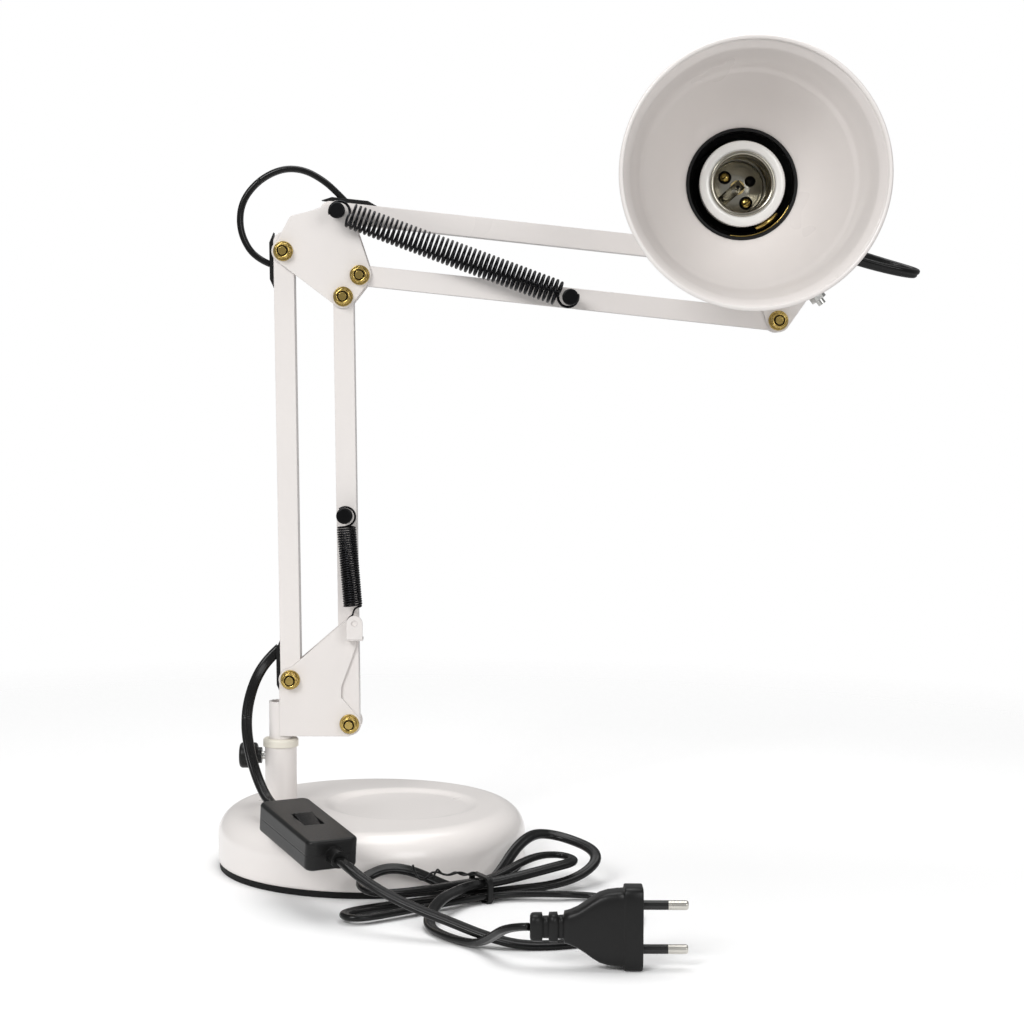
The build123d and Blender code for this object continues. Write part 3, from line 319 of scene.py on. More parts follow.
def glaze_finish(name, colour):
    """Glazed porcelain: clear coat over a body with faint pinholes."""
    made = Finish(name)
    cloud = made.noise(45.0)
    pits = made.ramp(made.noise(1400.0, 1.0), 0.70, 0.78)
    tone = made.mix(cloud, shade_of(colour, 0.96), shade_of(colour, 1.03))
    return made.set(
        Base_Color=made.mix(pits * 0.15, tone, shade_of(colour, 0.7)),
        Roughness=0.16 + cloud * 0.08, Coat_Weight=0.6, Coat_Roughness=0.05,
        Normal=made.bumped(1 - pits, 0.00002, 0.0007),
    )


def nylon_finish(name, colour):
    """Natural nylon: waxy, slightly blotchy, with soft edges."""
    made = Finish(name)
    cloud = made.noise(70.0)
    return made.set(
        Base_Color=made.mix(cloud, shade_of(colour, 0.9), shade_of(colour, 1.06)),
        Roughness=0.38 + cloud * 0.14, Normal=made.bumped(made.noise(800.0), 0.00002, 0.0005),
    )


def sleeved_finish(name, colour, metal, start):
    """A pin with a black insulating sleeve up to a place along X and bright plating beyond it."""
    made = Finish(name)
    cloud = made.noise(90.0)
    spot = made.node("ShaderNodeTexCoord", {}, {}, "Object")
    along = made.node("ShaderNodeSeparateXYZ", {}, {"Vector": spot}, "X")
    bare = made.ramp(along, start - 0.0001, start + 0.0001)
    plated = made.mix(cloud, shade_of(metal, 0.85), shade_of(metal, 1.05))
    return made.set(
        Base_Color=made.mix(bare, shade_of(colour, 1.0), plated), Metallic=bare,
        Roughness=0.24 + cloud * 0.08, Normal=made.bumped(made.noise(800.0), 0.00001, 0.0004),
    )


def cast_finish(name):
    """Rough cast iron with dark scale."""
    made = Finish(name)
    cloud = made.noise(180.0, 5.0)
    return made.set(
        Base_Color=made.mix(cloud, (0.05, 0.05, 0.052, 1.0), (0.16, 0.15, 0.145, 1.0)),
        Metallic=0.6, Roughness=0.55 + cloud * 0.3, Normal=made.bumped(cloud, 0.0003, 0.0005),
    )


# Surfaces


def grid_faces(rows, columns, wrap_rows=False):
    """Quads of a grid of points, row by row: each row is closed, and the rows too where they wrap."""
    row = np.arange(rows if wrap_rows else rows - 1)[:, None]
    column = np.arange(columns)[None, :]
    next_row, next_column = (row + 1) % rows, (column + 1) % columns
    corners = [row * columns + column, row * columns + next_column,
               next_row * columns + next_column, next_row * columns + column]
    return np.stack([np.broadcast_to(c, (row.size, column.size)).ravel() for c in corners], axis=1)


def piece_from(name, points, faces, material):
    """A smooth-shaded mesh object at the origin from points in metres and faces."""
    mesh = bpy.data.meshes.new(name)
    mesh.from_pydata(np.asarray(points).reshape(-1, 3).tolist(), [], [tuple(f) for f in faces])
    mesh.shade_smooth()
    mesh.validate()
    made = bpy.data.objects.new(name, mesh)
    bpy.context.scene.collection.objects.link(made)
    made.data.materials.append(material)
    return made


def closed_tube(points, faces, columns):
    """Faces of a tube with a fan of its end rows as caps."""
    count = len(points) // columns
    first = tuple(reversed(range(columns)))
    last = tuple((count - 1) * columns + k for k in range(columns))
    return [tuple(f) for f in faces] + [first, last]


def carried_frames(path, first_side):
    """Side and rise vectors along a path, carried with the least twist by reflecting twice at each step."""
    way = np.gradient(path, axis=0)
    way /= np.linalg.norm(way, axis=1, keepdims=True)
    sides = np.empty_like(path)
    side = np.asarray(first_side, float)
    side -= way[0] * side.dot(way[0])
    sides[0] = side / np.linalg.norm(side)
    for k in range(len(path) - 1):
        step = path[k + 1] - path[k]
        size = step.dot(step)
        carried = sides[k] - step * (2 / size * step.dot(sides[k]))
        turned = way[k] - step * (2 / size * step.dot(way[k]))
        change = way[k + 1] - turned
        size = max(change.dot(change), 1e-18)
        sides[k + 1] = carried - change * (2 / size * change.dot(carried))
    return sides, np.cross(way, sides)


def swept(path, section, first_side, part=slice(None)):
    """A section carried along a path: the point is path + side x u + rise x v; part keeps a run of its rings."""
    sides, rises = carried_frames(path, first_side)
    rings = path[:, None] + sides[:, None] * section[None, :, :1] + rises[:, None] * section[None, :, 1:]
    points = rings[part].reshape(-1, 3)
    faces = closed_tube(points, grid_faces(len(rings[part]), len(section)), len(section))
    return points, faces


def round_section(radius, count=10):
    """A circle of side and rise offsets, run so that the tube's faces point outwards."""
    angle = np.linspace(0, WHOLE_TURN, count, endpoint=False)
    return np.stack([np.cos(angle), np.sin(angle)], axis=1) * radius


def twin_section(width, thickness, count=20):
    """A flat twin cord: two round cores side by side with a shallow groove between them."""
    angle = np.linspace(0, WHOLE_TURN, count, endpoint=False)
    across = np.cos(angle) * width / 2
    groove = 1 - 0.26 * np.exp(-((across / (width * 0.11)) ** 2))
    rise = np.sign(np.sin(angle)) * np.abs(np.sin(angle)) ** 0.72 * thickness / 2 * groove
    return np.stack([across, rise], axis=1)


def spline_points(route, resolution=10):
    """Points read from a smooth NURBS spline whose control points are a route in millimetres."""
    data = bpy.data.curves.new("route", "CURVE")
    data.dimensions = "3D"
    spline = data.splines.new("NURBS")
    spline.points.add(len(route) - 1)
    spline.points.foreach_set("co", [c for p in route for c in (p[0] * MM, p[1] * MM, p[2] * MM, 1.0)])
    spline.order_u = 3
    spline.use_endpoint_u = True
    spline.resolution_u = resolution
    holder = bpy.data.objects.new("route", data)
    mesh = bpy.data.meshes.new_from_object(holder)
    points = np.empty(len(mesh.vertices) * 3)
    mesh.vertices.foreach_get("co", points)
    bpy.data.objects.remove(holder)
    bpy.data.meshes.remove(mesh)
    bpy.data.curves.remove(data)
    return points.reshape(-1, 3)


def turned_surface(profile, steps, wave=None):
    """A profile turned about the shade's axis: centre + (radius + wave) x outward + distance x axis."""
    across = np.cross(shade_way, (0.0, 0.0, 1.0))
    across /= np.linalg.norm(across)
    rise = np.cross(across, shade_way)
    angle = np.linspace(0, WHOLE_TURN, steps, endpoint=False)
    radius = np.repeat(profile[:, :1], steps, axis=1)
    if wave is not None:
        radius = radius + wave(profile[:, 1:], angle[None, :])
    out = np.cos(angle)[:, None] * across + np.sin(angle)[:, None] * rise
    return neck_centre + radius[..., None] * out[None] + profile[:, 1][:, None, None] * shade_way


def heading(angle):
    """A unit vector on the floor, counted from +X towards +Y in degrees."""
    return np.array([math.cos(math.radians(angle)), math.sin(math.radians(angle)), 0.0])


def hank_route():
    """The hank's control points: two at each seat in the tie and four round each loop."""
    way, side = heading(hank_heading), heading(hank_heading + 90)
    waist = np.array(hank_waist)
    seats = [waist + side * (a * hank_pitch) + np.array((0, 0, b * hank_pitch)) for a, b in hank_seat_shares]
    route = [seats[0] + way * hank_hold, seats[0] - way * hank_hold]
    for k, (reach, angle, half, turn, z_out, z_tip, z_back) in enumerate(hank_loops):
        out, left = heading(angle), heading(angle + 90) * turn
        ground = np.array((hank_waist[0], hank_waist[1], 0.0))
        rows = [(hank_mid_share, half, z_out), (1.0, half, (z_out + 3 * z_tip) / 4),
                (1.0, -half, (z_back + 3 * z_tip) / 4), (hank_mid_share, -half, z_back)]
        route += [
            ground + out * (share * reach) + left * lateral + np.array((0, 0, z)) for share, lateral, z in rows
        ]
        leave = way if k % 2 == 0 else -way
        route += [seats[k + 1] - leave * hank_hold, seats[k + 1] + leave * hank_hold]
    return [tuple(point) for point in route]


finishes = {}


def make_finishes(colours):
    """One material for each slot of the record."""
    paint, black = tuple(colours.paint), tuple(colours.black)
    finishes.update({
        "white_paint": paint_finish("gloss_white_coat", paint),
        "black_rubber": black_finish("foot_rubber", black, 0.62, 700.0, 0.0001, 0.0004),
        "cast_weight": cast_finish("cast_weight"),
        "zinc_steel": metal_finish("bright_zinc", (0.60, 0.60, 0.58), 0.24, (1.0, 1.0, 4.0), 0.00002),
        "yellow_zinc": metal_finish("yellow_zinc", tuple(colours.zinc), 0.12, (3.0, 1.0, 1.0), 0.00002),
        "cream_nylon": nylon_finish("cream_nylon", tuple(colours.nylon)),
        "black_plastic": black_finish("satin_black", black, 0.26, 1100.0, 0.00004, 0.0007),
        "black_pin": metal_finish("black_oxide", (0.016, 0.016, 0.017), 0.26, (1.0, 6.0, 1.0), 0.00001),
        "black_spring": metal_finish("spring_wire", (0.020, 0.020, 0.022), 0.20, (1.0, 1.0, 1.0), 0.00001),
        "black_cord": black_finish("cord_sheath", black, 0.14, 500.0, 0.00003, 0.0),
        "porcelain": glaze_finish("glazed_porcelain", tuple(colours.porcelain)),
        "nickel": metal_finish("nickel", (0.42, 0.40, 0.34), 0.10, (1.0, 5.0, 1.0), 0.00001),
        "contact_brass": metal_finish("plain_brass", (0.72, 0.55, 0.24), 0.26, (1.0, 4.0, 1.0), 0.00002),
    })


class LAMP_OT_finishes(bpy.types.Operator):
    """Gives every CAD node its finish"""

    bl_idname = "lamp.finishes"
    bl_label = "Finishes"

    def execute(self, context):
        make_finishes(context.scene.lamp_colours)
        slot_of = {part["node"]: part["material_slot"] for part in frame["record"]["subparts"]}
        for name, node in frame["nodes"].items():
            node.data.materials.clear()
            node.data.materials.append(finishes[slot_of[name]])
        black = tuple(context.scene.lamp_colours.black)
        pins, rocker = frame["nodes"]["plug_pins"], frame["nodes"]["switch_rocker"]
        bare_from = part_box("plug_pins")[1][0] - bare_tip
        pins.data.materials[0] = sleeved_finish("sleeved_pins", black, pin_plating, bare_from)
        rocker.data.materials[0] = black_finish("rocker_gloss", black, 0.05, 1100.0, 0.00001, 0.001)
        return {"FINISHED"}


def flat_cord(name, path, sizes, first_side, part=slice(None)):
    """A twin cord swept along a path, or along a part of it."""
    section = twin_section(sizes.cord_width, sizes.cord_thickness)
    points, faces = swept(path, section, first_side, part)
    return piece_from(name, points, faces, finishes["black_cord"])


class LAMP_OT_cords(bpy.types.Operator):
    """Makes the mains cord with its hank, and the loops of lead at the arm's joints"""

    bl_idname = "lamp.cords"
    bl_label = "Cords"

    def execute(self, context):
        sizes = context.scene.lamp_sizes
        supply = spline_points(switch_route + hank_route() + plug_route)
        supply_cord = flat_cord("supply_cord_sheath", supply, sizes, (0.88, 0.47, 0.0))
        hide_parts("switch_cord", "cord_hank", "plug_cord")
        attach(supply_cord, "base")
        arm, elbow, head = [spline_points(route) for route in (arm_route, elbow_route, head_route)]
        across, level, sloped = (0.9, 0.4, 0.0), (0.0, 1.0, 0.0), (0.6, -0.5, 0.62)
        for name, path, first, last, fade, side, bodies, lay, node in (
            ("arm_cord_sheath", arm, 0, 55, 55, across, ("base", "swivel"), "hanging", "arm_cord"),
            ("arm_cord_upper", arm, 55, 99, 99, across, ("swivel", "rear_bar"), "hanging", ""),
            ("elbow_lead_lower", elbow, 0, 50, 50, level, ("rear_bar", "elbow"), "loose", "elbow_lead"),
            ("elbow_lead_upper", elbow, 50, 99, 99, level, ("elbow", "top_bar"), "loose", ""),
            ("head_lead_bar", head, 0, 30, 20, sloped, ("top_bar", "head"), "loose", "head_lead"),
            ("head_lead_bend", head, 30, 50, 40, sloped, ("head", "stem"), "loose", ""),
            ("head_lead_neck", head, 50, 179, 62, sloped, ("stem", "shade"), "loose", ""),
        ):
            lead = flat_cord(name, path, sizes, side, slice(first, last + 1))
            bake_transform(lead)
            if node:
                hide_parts(node)
        return {"FINISHED"}


def spring_path(start, end, wind, coils, per_turn=22):
    """A coil between two pins: axis x distance + radius x (cos, sin) of the turn, with a hook round each pin."""
    radius, wire = wind["radius"] * MM, wind["wire"] * MM
    pin_radii, leads = [[size * MM for size in wind[key]] for key in ("pins", "leads")]
    axis = end - start
    length = np.linalg.norm(axis)
    axis = axis / length
    side = np.array((0.0, -1.0, 0.0))
    other = np.cross(axis, side)
    first, last = pin_radii[0] + wire * 0.9, pin_radii[1] + wire * 0.9
    turn = np.linspace(0, coils, coils * per_turn + 1)
    along = first + leads[0] + (length - first - last - sum(leads)) * turn / coils
    angle = WHOLE_TURN * turn
    helix = start + along[:, None] * axis + radius * (
        np.cos(angle)[:, None] * side + np.sin(angle)[:, None] * other)

    def hook(pin, reach, way):
        swing = np.linspace(math.radians(-215), 0.0, hook_points)[:, None]
        return pin + way * (wire * 0.8) + reach * (np.cos(swing) * way + np.sin(swing) * np.cross(way, side))

    head = hook(start, first, axis)
    tail = hook(end, last, -axis)[::-1]
    path = np.vstack([head, helix, tail])
    smooth = path.copy()
    for _ in range(3):
        smooth[1:-1] = 0.25 * smooth[:-2] + 0.5 * smooth[1:-1] + 0.25 * smooth[2:]
    blend = np.zeros(len(path))
    ends = len(head)
    blend[ends - 8:ends + 12] = 1.0
    blend[-ends - 12:-ends + 8] = 1.0
    return path + (smooth - path) * blend[:, None]


def spring_run(name, path, wind, part=slice(None)):
    """A spring's round wire along a path, or along a part of it."""
    points, faces = swept(path, round_section(wind["wire"] / 2 * MM, 8), (0.0, -1.0, 0.0), part)
    return piece_from(name, points, faces, finishes["black_spring"])


class LAMP_OT_springs(bpy.types.Operator):
    """Winds the two balance springs with hooks round their pins"""

    bl_idname = "lamp.springs"
    bl_label = "Springs"

    def execute(self, context):
        sizes = context.scene.lamp_sizes

        def in_plane(x, z):
            return np.array([x, spring_plane * MM, z])

        def middle(node):
            low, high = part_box(node)
            return in_plane((low[0] + high[0]) / 2, (low[2] + high[2]) / 2)

        ear = np.array(joint_at["lower_arm"]["pos_m"]) + np.array(ear_from_pivot) * MM
        low_pin, high_pin = middle("lower_spring_pin"), middle("upper_spring_pin")
        root = in_plane(top_root[0], top_root[2])
        coil = spring_path(low_pin, ear, lower_wind, sizes.lower_coils)
        lower = spring_run("lower_balance_spring", coil, lower_wind)
        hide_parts("lower_spring")
        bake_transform(lower)
        coil = spring_path(root, high_pin, upper_wind, sizes.upper_coils)
        axis = (high_pin - root) / np.linalg.norm(high_pin - root)
        upper = spring_run("upper_balance_spring", coil, upper_wind, slice(hook_run, len(coil) - hook_points))
        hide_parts("upper_spring")
        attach(upper, "top_bar")
        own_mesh(upper)
        root_hook = spring_run("upper_spring_root_hook", coil, upper_wind, slice(0, hook_run + 1))
        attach(root_hook, "top_bar")
        shank = np.linspace(high_pin - axis * (shank_far * MM), high_pin - axis * (shank_near * MM), 12)
        tip_hook = spring_run("upper_spring_tip_hook", np.vstack([shank, coil[-hook_points:]]), upper_wind)
        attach(tip_hook, "bottom_bar")
        return {"FINISHED"}


class LAMP_OT_shade(bpy.types.Operator):
    """Spins the bell shade with its rolled rim and pressed steps"""

    bl_idname = "lamp.shade"
    bl_label = "Shade"

    def execute(self, context):
        lip = context.scene.lamp_sizes.lip / MM / 2
        rim, rim_at, wall, steps = 62.5 - lip, -85.0, 0.9, 160
        step, step_at, step_slope = 0.55, -56.0, 3.0
        curve = np.linspace(0, 1, 40)
        chord = np.array([
            (57.4, -77.6), (54.4, -64.0), (49.9, -52.6), (42.2, -38.0), (34.6, -28.0), (28.0, -22.0),
        ])
        spread = np.linspace(0, 1, len(chord))
        outer = np.stack([np.interp(curve, spread, chord[:, k]) for k in (0, 1)], axis=1)
        for _ in range(12):
            outer[1:-1] = 0.25 * outer[:-2] + 0.5 * outer[1:-1] + 0.25 * outer[2:]
        outer[:, 0] += step * (1 - 1 / (1 + np.exp(-(outer[:, 1] - step_at) * step_slope)))
        roll = np.linspace(math.radians(-150), math.radians(105), 18)
        edge = np.stack([rim + lip * np.sin(roll), rim_at - lip * np.cos(roll)], axis=1)
        flange = np.array([(61.5, -84.2), (60.7, -83.0), (59.9, -81.6), (59.2, -80.2), (58.5, -78.9)])
        collar = np.array([(28.0, -20.0), (28.0, -16.0)])
        outside = np.vstack([flange, outer, collar])
        inside = outside[::-1] - np.array((wall, 0.0))
        profile = np.vstack([outside, inside, edge]) * MM
        points = turned_surface(profile, steps)
        faces = grid_faces(len(profile), steps, wrap_rows=True)
        bell = piece_from("bell_shade", points, faces, finishes["white_paint"])
        outward(bell)
        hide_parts("shade_bell")
        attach(bell, "shade")
        return {"FINISHED"}


def outward(made):
    """Turns a closed piece's faces so that they point outwards, with points on one spot made one."""
    work = bmesh.new()
    work.from_mesh(made.data)
    bmesh.ops.remove_doubles(work, verts=work.verts, dist=1e-6)
    bmesh.ops.recalc_face_normals(work, faces=work.faces)
    work.to_mesh(made.data)
    work.free()


def on_shade(right, up, deep):
    """A point of the shade in metres from millimetres to the right, up and back from the neck's centre."""
    across = np.cross(shade_way, (0.0, 0.0, 1.0))
    across /= np.linalg.norm(across)
    return neck_centre + (across * right + np.cross(across, shade_way) * up + shade_way * deep) * MM


def shade_piece(name, points, faces, slot):
    """A closed piece that moves with the shade."""
    made = piece_from(name, points, faces, finishes[slot])
    outward(made)
    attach(made, "shade")
    return made


def shade_lathe(name, profile, steps, slot, wave=None):
    """A closed ring turned about the shade's axis from a profile of radius and depth in millimetres."""
    points = turned_surface(np.array(profile, float) * MM, steps, wave)
    return shade_piece(name, points, grid_faces(len(profile), steps, wrap_rows=True), slot)


def shade_stud(name, right, up, rows, slot, steps=28):
    """A small round stud on the socket's floor: one circle for each row of radius and depth, with flat ends."""
    angle = np.linspace(0, WHOLE_TURN, steps, endpoint=False)
    rings = [[on_shade(right + radius * math.cos(a), up + radius * math.sin(a), deep) for a in angle]
             for radius, deep in rows]
    points = np.array(rings).reshape(-1, 3)
    return shade_piece(name, points, closed_tube(points, grid_faces(len(rows), steps), steps), slot)


def shade_bar(name, spine, half, thick, angle, slot, centre=(0.0, 0.0)):
    """A bent strip at an angle: centre + reach along it, half its width to each side, and the spine's depth."""
    way = np.array((math.cos(math.radians(angle)), math.sin(math.radians(angle))))
    aside = np.array((-way[1], way[0]))
    rows = []
    for reach, deep in spine:
        for side, lift in ((-1, 0), (1, 0), (1, 1), (-1, 1)):
            spot = np.array(centre) + way * reach + aside * (side * half)
            rows.append(on_shade(spot[0], spot[1], deep - lift * thick))
    points = np.array(rows)
    return shade_piece(name, points, closed_tube(points, grid_faces(len(spine), 4), 4), slot)


class LAMP_OT_socket(bpy.types.Operator):
    """Rolls the threaded shell, glazes the socket's ring and sets the contacts and the strap"""

    bl_idname = "lamp.socket"
    bl_label = "Socket"

    def execute(self, context):
        pitch = context.scene.lamp_sizes.thread_pitch
        deep = np.linspace(-20.5, 0.4, 110)

        def thread(distance, angle):
            roll = 0.24 * MM * np.sin(WHOLE_TURN * distance / pitch + angle)
            return roll * (np.abs(distance + 10.0 * MM) < 10.6 * MM)

        inner = [(13.5, d) for d in deep]
        outer = [(13.95, d) for d in deep[::-1]]
        lip = [(14.0, -23.0), (14.2, -24.9), (15.5, -25.05), (15.85, -25.3), (15.7, -25.75), (15.1, -25.95),
               (14.3, -25.8), (13.75, -25.2), (13.5, -24.2), (13.4, -22.5)]
        shell = shade_lathe("threaded_shell", inner + outer + lip, 120, "nickel", thread)
        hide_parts("screw_shell")

        def knurl(distance, angle):
            ribs = 0.10 * MM * np.sin(angle * 96)
            return ribs * (distance > -24.9 * MM) * (distance < -20.0 * MM)

        shade_lathe("socket_ring", [
            (16.1, -24.6), (16.25, -25.35), (16.7, -25.6), (19.2, -25.55), (20.1, -25.3), (20.6, -24.8),
            (20.75, -24.2), (20.75, -22.4), (20.75, -20.6), (20.55, -20.2), (20.52, -22.0), (20.52, -24.4),
            (19.6, -24.9),
        ], 576, "porcelain", knurl)
        shade_stud("socket_floor", 0.0, 0.0, [(13.3, 1.9), (13.3, 1.3), (12.6, 1.0)], "nickel", 64)
        spine = [(-2.6, -1.5), (2.6, -1.5), (4.6, -1.1), (6.6, -0.1), (10.8, 0.3)]
        shade_bar("contact_strip", spine, 2.6, 0.7, 222.0, "nickel")
        shade_stud("contact_rivet", 0.0, 0.0, [(1.7, -1.9), (1.7, -2.7), (1.0, -3.2)], "nickel")
        # Black discs and bars in the rivet's hole, the terminal wells, the screw slots and the wire hole: painted
        # shade standing for the dark depth of these recesses
        shade_stud("rivet_hole_painted_shade", 0.0, 0.0, [(0.9, -3.0), (0.9, -3.3)], "black_plastic", 16)
        for name, right, up in (("terminal_upper", -6.2, 5.0), ("terminal_lower", 4.4, -7.6)):
            shade_stud(name + "_well_painted_shade", right, up, [(3.3, 1.2), (3.3, 0.75)], "black_plastic")
            shade_stud(name + "_screw", right, up, [(2.3, 0.9), (2.3, -0.1), (1.7, -0.7)], "yellow_zinc")
            shade_bar(name + "_slot", [(-1.6, -0.66), (1.6, -0.66)], 0.3, 0.1, 35.0, "black_plastic", (right, up))
        shade_stud("wire_hole_painted_shade", 6.4, 3.2, [(2.7, 1.2), (2.7, 0.8)], "black_plastic")
        spine = [
            (-20.0, 10.2), (21.2, 10.2), (22.1, 8.0), (22.1, -11.4), (24.4, -15.6), (24.0, -17.6), (21.0, -19.4),
        ]
        strap = shade_bar("strap_plate", spine, 6.2, 0.7, -55.0, "yellow_zinc")
        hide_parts("socket_strap")
        swing = np.radians(np.linspace(-102.0, -24.0, 60))
        edge_r, edge_at, edge_wire = 25.1, -21.2, 0.34
        arc = np.array([on_shade(edge_r * math.cos(a), edge_r * math.sin(a), edge_at) for a in swing])
        points, faces = swept(arc, round_section(edge_wire * MM, 8), shade_way)
        shade_piece("strap_edge", points, faces, "yellow_zinc")
        return {"FINISHED"}


class LAMP_OT_base(bpy.types.Operator):
    """Presses the round base with its soft shoulder and dished recess"""

    bl_idname = "lamp.base"
    bl_label = "Base"

    def execute(self, context):
        crown, outside, drop, shoulder = 31.0, 77.0, 2.0, 13.0
        dish_x, dish_r, dish_blend, dish_floor = 15.0, 39.4, 7.4, 28.3
        lean = math.atan2(drop, outside)
        reach = outside - shoulder
        flat = np.linspace(0.0, reach + 0.4, 110)
        top = np.stack([flat, crown - flat * math.tan(lean)], axis=1)
        swing = np.linspace(lean, math.pi / 2, 26)[1:]
        middle = crown - reach * math.tan(lean) - shoulder / math.cos(lean)
        turn = np.stack([reach + shoulder * np.sin(swing), middle + shoulder * np.cos(swing)], axis=1)
        skirt = np.array([
            (77.0, 10.0), (77.0, 4.6), (76.85, 3.5), (76.3, 3.05), (75.4, 3.0), (75.2, 4.5), (75.2, 12.0),
        ])
        profile = np.vstack([top, turn, skirt])
        steps = 220
        angle = np.linspace(0, WHOLE_TURN, steps, endpoint=False)
        x, y = profile[:, :1] * np.cos(angle), profile[:, :1] * np.sin(angle)
        share = np.clip((dish_r - np.hypot(x - dish_x, y)) / dish_blend, 0.0, 1.0)
        dish = share * share * (3 - 2 * share)
        on_top = (np.arange(len(profile)) < len(top) + len(turn))[:, None]
        ring = crown - np.hypot(x, y) * math.tan(lean)
        z = np.where(on_top, profile[:, 1:] - dish * (ring - dish_floor), profile[:, 1:])
        points = np.stack([x, y, z], axis=2) * MM
        faces = grid_faces(len(profile), steps)
        shell = piece_from("pressed_base", points, faces, finishes["white_paint"])
        outward(shell)
        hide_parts("base_shell")
        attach(shell, "base")
        return {"FINISHED"}


class LAMP_OT_plug(bpy.types.Operator):
    """Moulds the flat plug with its waisted grip and ribbed strain relief, and the twisted tie"""

    bl_idname = "lamp.plug"
    bl_label = "Plug and tie"

    def execute(self, context):
        low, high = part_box("plug_body")
        centre_y, centre_z = (low[1] + high[1]) / 2, (low[2] + high[2]) / 2
        rows = np.array([
            (77.6, 3.4, 4.4), (78.0, 4.2, 5.4), (78.8, 4.4, 5.8), (82.6, 4.4, 5.9), (82.9, 3.3, 4.5),
            (85.3, 3.3, 4.6), (85.6, 4.5, 6.0), (89.0, 4.6, 6.1), (89.3, 3.4, 4.8), (91.6, 3.6, 4.9),
            (91.9, 4.8, 6.5), (94.2, 5.1, 7.0), (97.5, 5.5, 8.3), (100.5, 5.8, 10.2),
            (103.5, 6.0, 12.4), (106.5, 6.2, 14.2), (110.0, 6.3, 15.3), (114.0, 6.35, 15.8),
            (116.2, 6.4, 15.9), (116.5, 6.5, 16.2), (116.7, 6.8, 17.3), (117.2, 6.85, 17.6),
            (123.9, 6.85, 17.6), (124.3, 6.7, 17.4), (124.5, 6.3, 16.9),
        ])
        count = 48
        angle = np.linspace(0, WHOLE_TURN, count, endpoint=False)
        squarer = np.interp(rows[:, 0], (90.0, 100.0), (0.6, 0.34))[:, None]
        across = np.sign(np.cos(angle)) * np.abs(np.cos(angle)) ** squarer * rows[:, 1:2]
        rise = np.sign(np.sin(angle)) * np.abs(np.sin(angle)) ** squarer * rows[:, 2:3]
        x = np.repeat(rows[:, :1], count, axis=1) * MM
        points = np.stack([x, centre_y + across * MM, centre_z + rise * MM], axis=2)
        faces = closed_tube(points.reshape(-1, 3), grid_faces(len(rows), count), count)
        body = piece_from("moulded_plug", points, faces, finishes["black_plastic"])
        outward(body)
        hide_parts("plug_body")
        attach(body, "base")
        along = np.linspace(0, 1, 120)
        start, axis = np.array((54.0, -82.2, 13.6)), np.array((-20.0, -6.0, 1.6))
        axis = axis / np.linalg.norm(axis)
        side = np.cross(axis, (0, 0, 1.0))
        side /= np.linalg.norm(side)
        rise = np.cross(side, axis)
        for k, name in enumerate(("tie_end_front", "tie_end_back")):
            swing = WHOLE_TURN * 2.6 * along + k * math.pi
            reach = 0.6 + 1.2 * np.clip(along - 0.7, 0, 1) * 6 * (1 + k)
            path = start + along[:, None] * (22.0 + 8.0 * k) * axis
            path = path + reach[:, None] * (np.cos(swing)[:, None] * side + np.sin(swing)[:, None] * rise)
            points, faces = swept(path * MM, round_section(0.5 * MM, 8), (0.0, 0.0, 1.0))
            twist = piece_from(name, points, faces, finishes["black_plastic"])
            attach(twist, "base")
        return {"FINISHED"}


def pivot_points():
    """The bolted pivots of each bracket: the joints give all but the two that close the four-bar arms."""
    at = {name: np.array(joint["pos_m"]) for name, joint in joint_at.items()}
    low_front = at["front_bar_pivot"] + at["elbow_level"] - at["lower_arm"]
    tip = at["bottom_bar_pivot"] + at["head_level"] - at["upper_arm"]
    return {
        "swivel": ("lower_pivot_bolts", [at["lower_arm"], at["front_bar_pivot"]]),
        "elbow": ("elbow_bolts", [at["elbow_level"], low_front, at["bottom_bar_pivot"]]),
        "head": ("head_bolts", [at["head_level"], tip]),
    }


def nut_ring(rows, steps, lean):
    """Points of a nut about -Y: the radius is the row's radius, stretched to a hexagon by the row's share."""
    angle = np.linspace(0, WHOLE_TURN, steps, endpoint=False)
    corner = 1 / np.cos((angle + lean) % (math.pi / 3) - math.pi / 6)
    radius = rows[:, :1] * (1 + rows[:, 2:] * (corner - 1))
    height = np.repeat(-rows[:, 1:2], steps, axis=1)
    return np.stack([radius * np.cos(angle), height, radius * np.sin(angle)], axis=2) * MM


class LAMP_OT_nuts(bpy.types.Operator):
    """Turns the flange nuts on the front plates, with a black ring of painted shade round each bolt's end"""

    bl_idname = "lamp.nuts"
    bl_label = "Nuts"

    def execute(self, context):
        nut = np.array([
            (4.90, 0.0, 0), (4.90, 0.5, 0), (4.70, 0.8, 0), (4.05, 1.15, 0), (3.62, 1.35, 1), (3.62, 3.7, 1),
            (3.55, 4.25, 0.6), (3.35, 4.6, 0), (2.75, 4.62, 0), (2.60, 4.3, 0), (2.60, 0.0, 0),
        ])
        # A thin black ring flush at the bolt's end: painted shade for the dark thread gap between bolt and nut
        painted_shade_ring = np.array([(2.02, 4.50, 0), (2.62, 4.50, 0), (2.62, 4.42, 0), (2.02, 4.42, 0)])
        steps, tip = 72, 5.2 * MM
        for body, (node, pivots) in pivot_points().items():
            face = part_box(node)[0][1] + tip
            for kind, rows, slot in (("flange_nuts", nut, "yellow_zinc"), ("bolt_painted_shade", painted_shade_ring, "black_plastic")):
                rings = [nut_ring(rows, steps, 0.4 * k) + (p[0], face, p[2]) for k, p in enumerate(pivots)]
                quads = grid_faces(len(rows), steps, wrap_rows=True)
                faces = np.vstack([quads + k * len(rows) * steps for k in range(len(pivots))])
                made = piece_from(f"{body}_{kind}", np.array(rings), faces, finishes[slot])
                outward(made)
                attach(made, body)
        return {"FINISHED"}


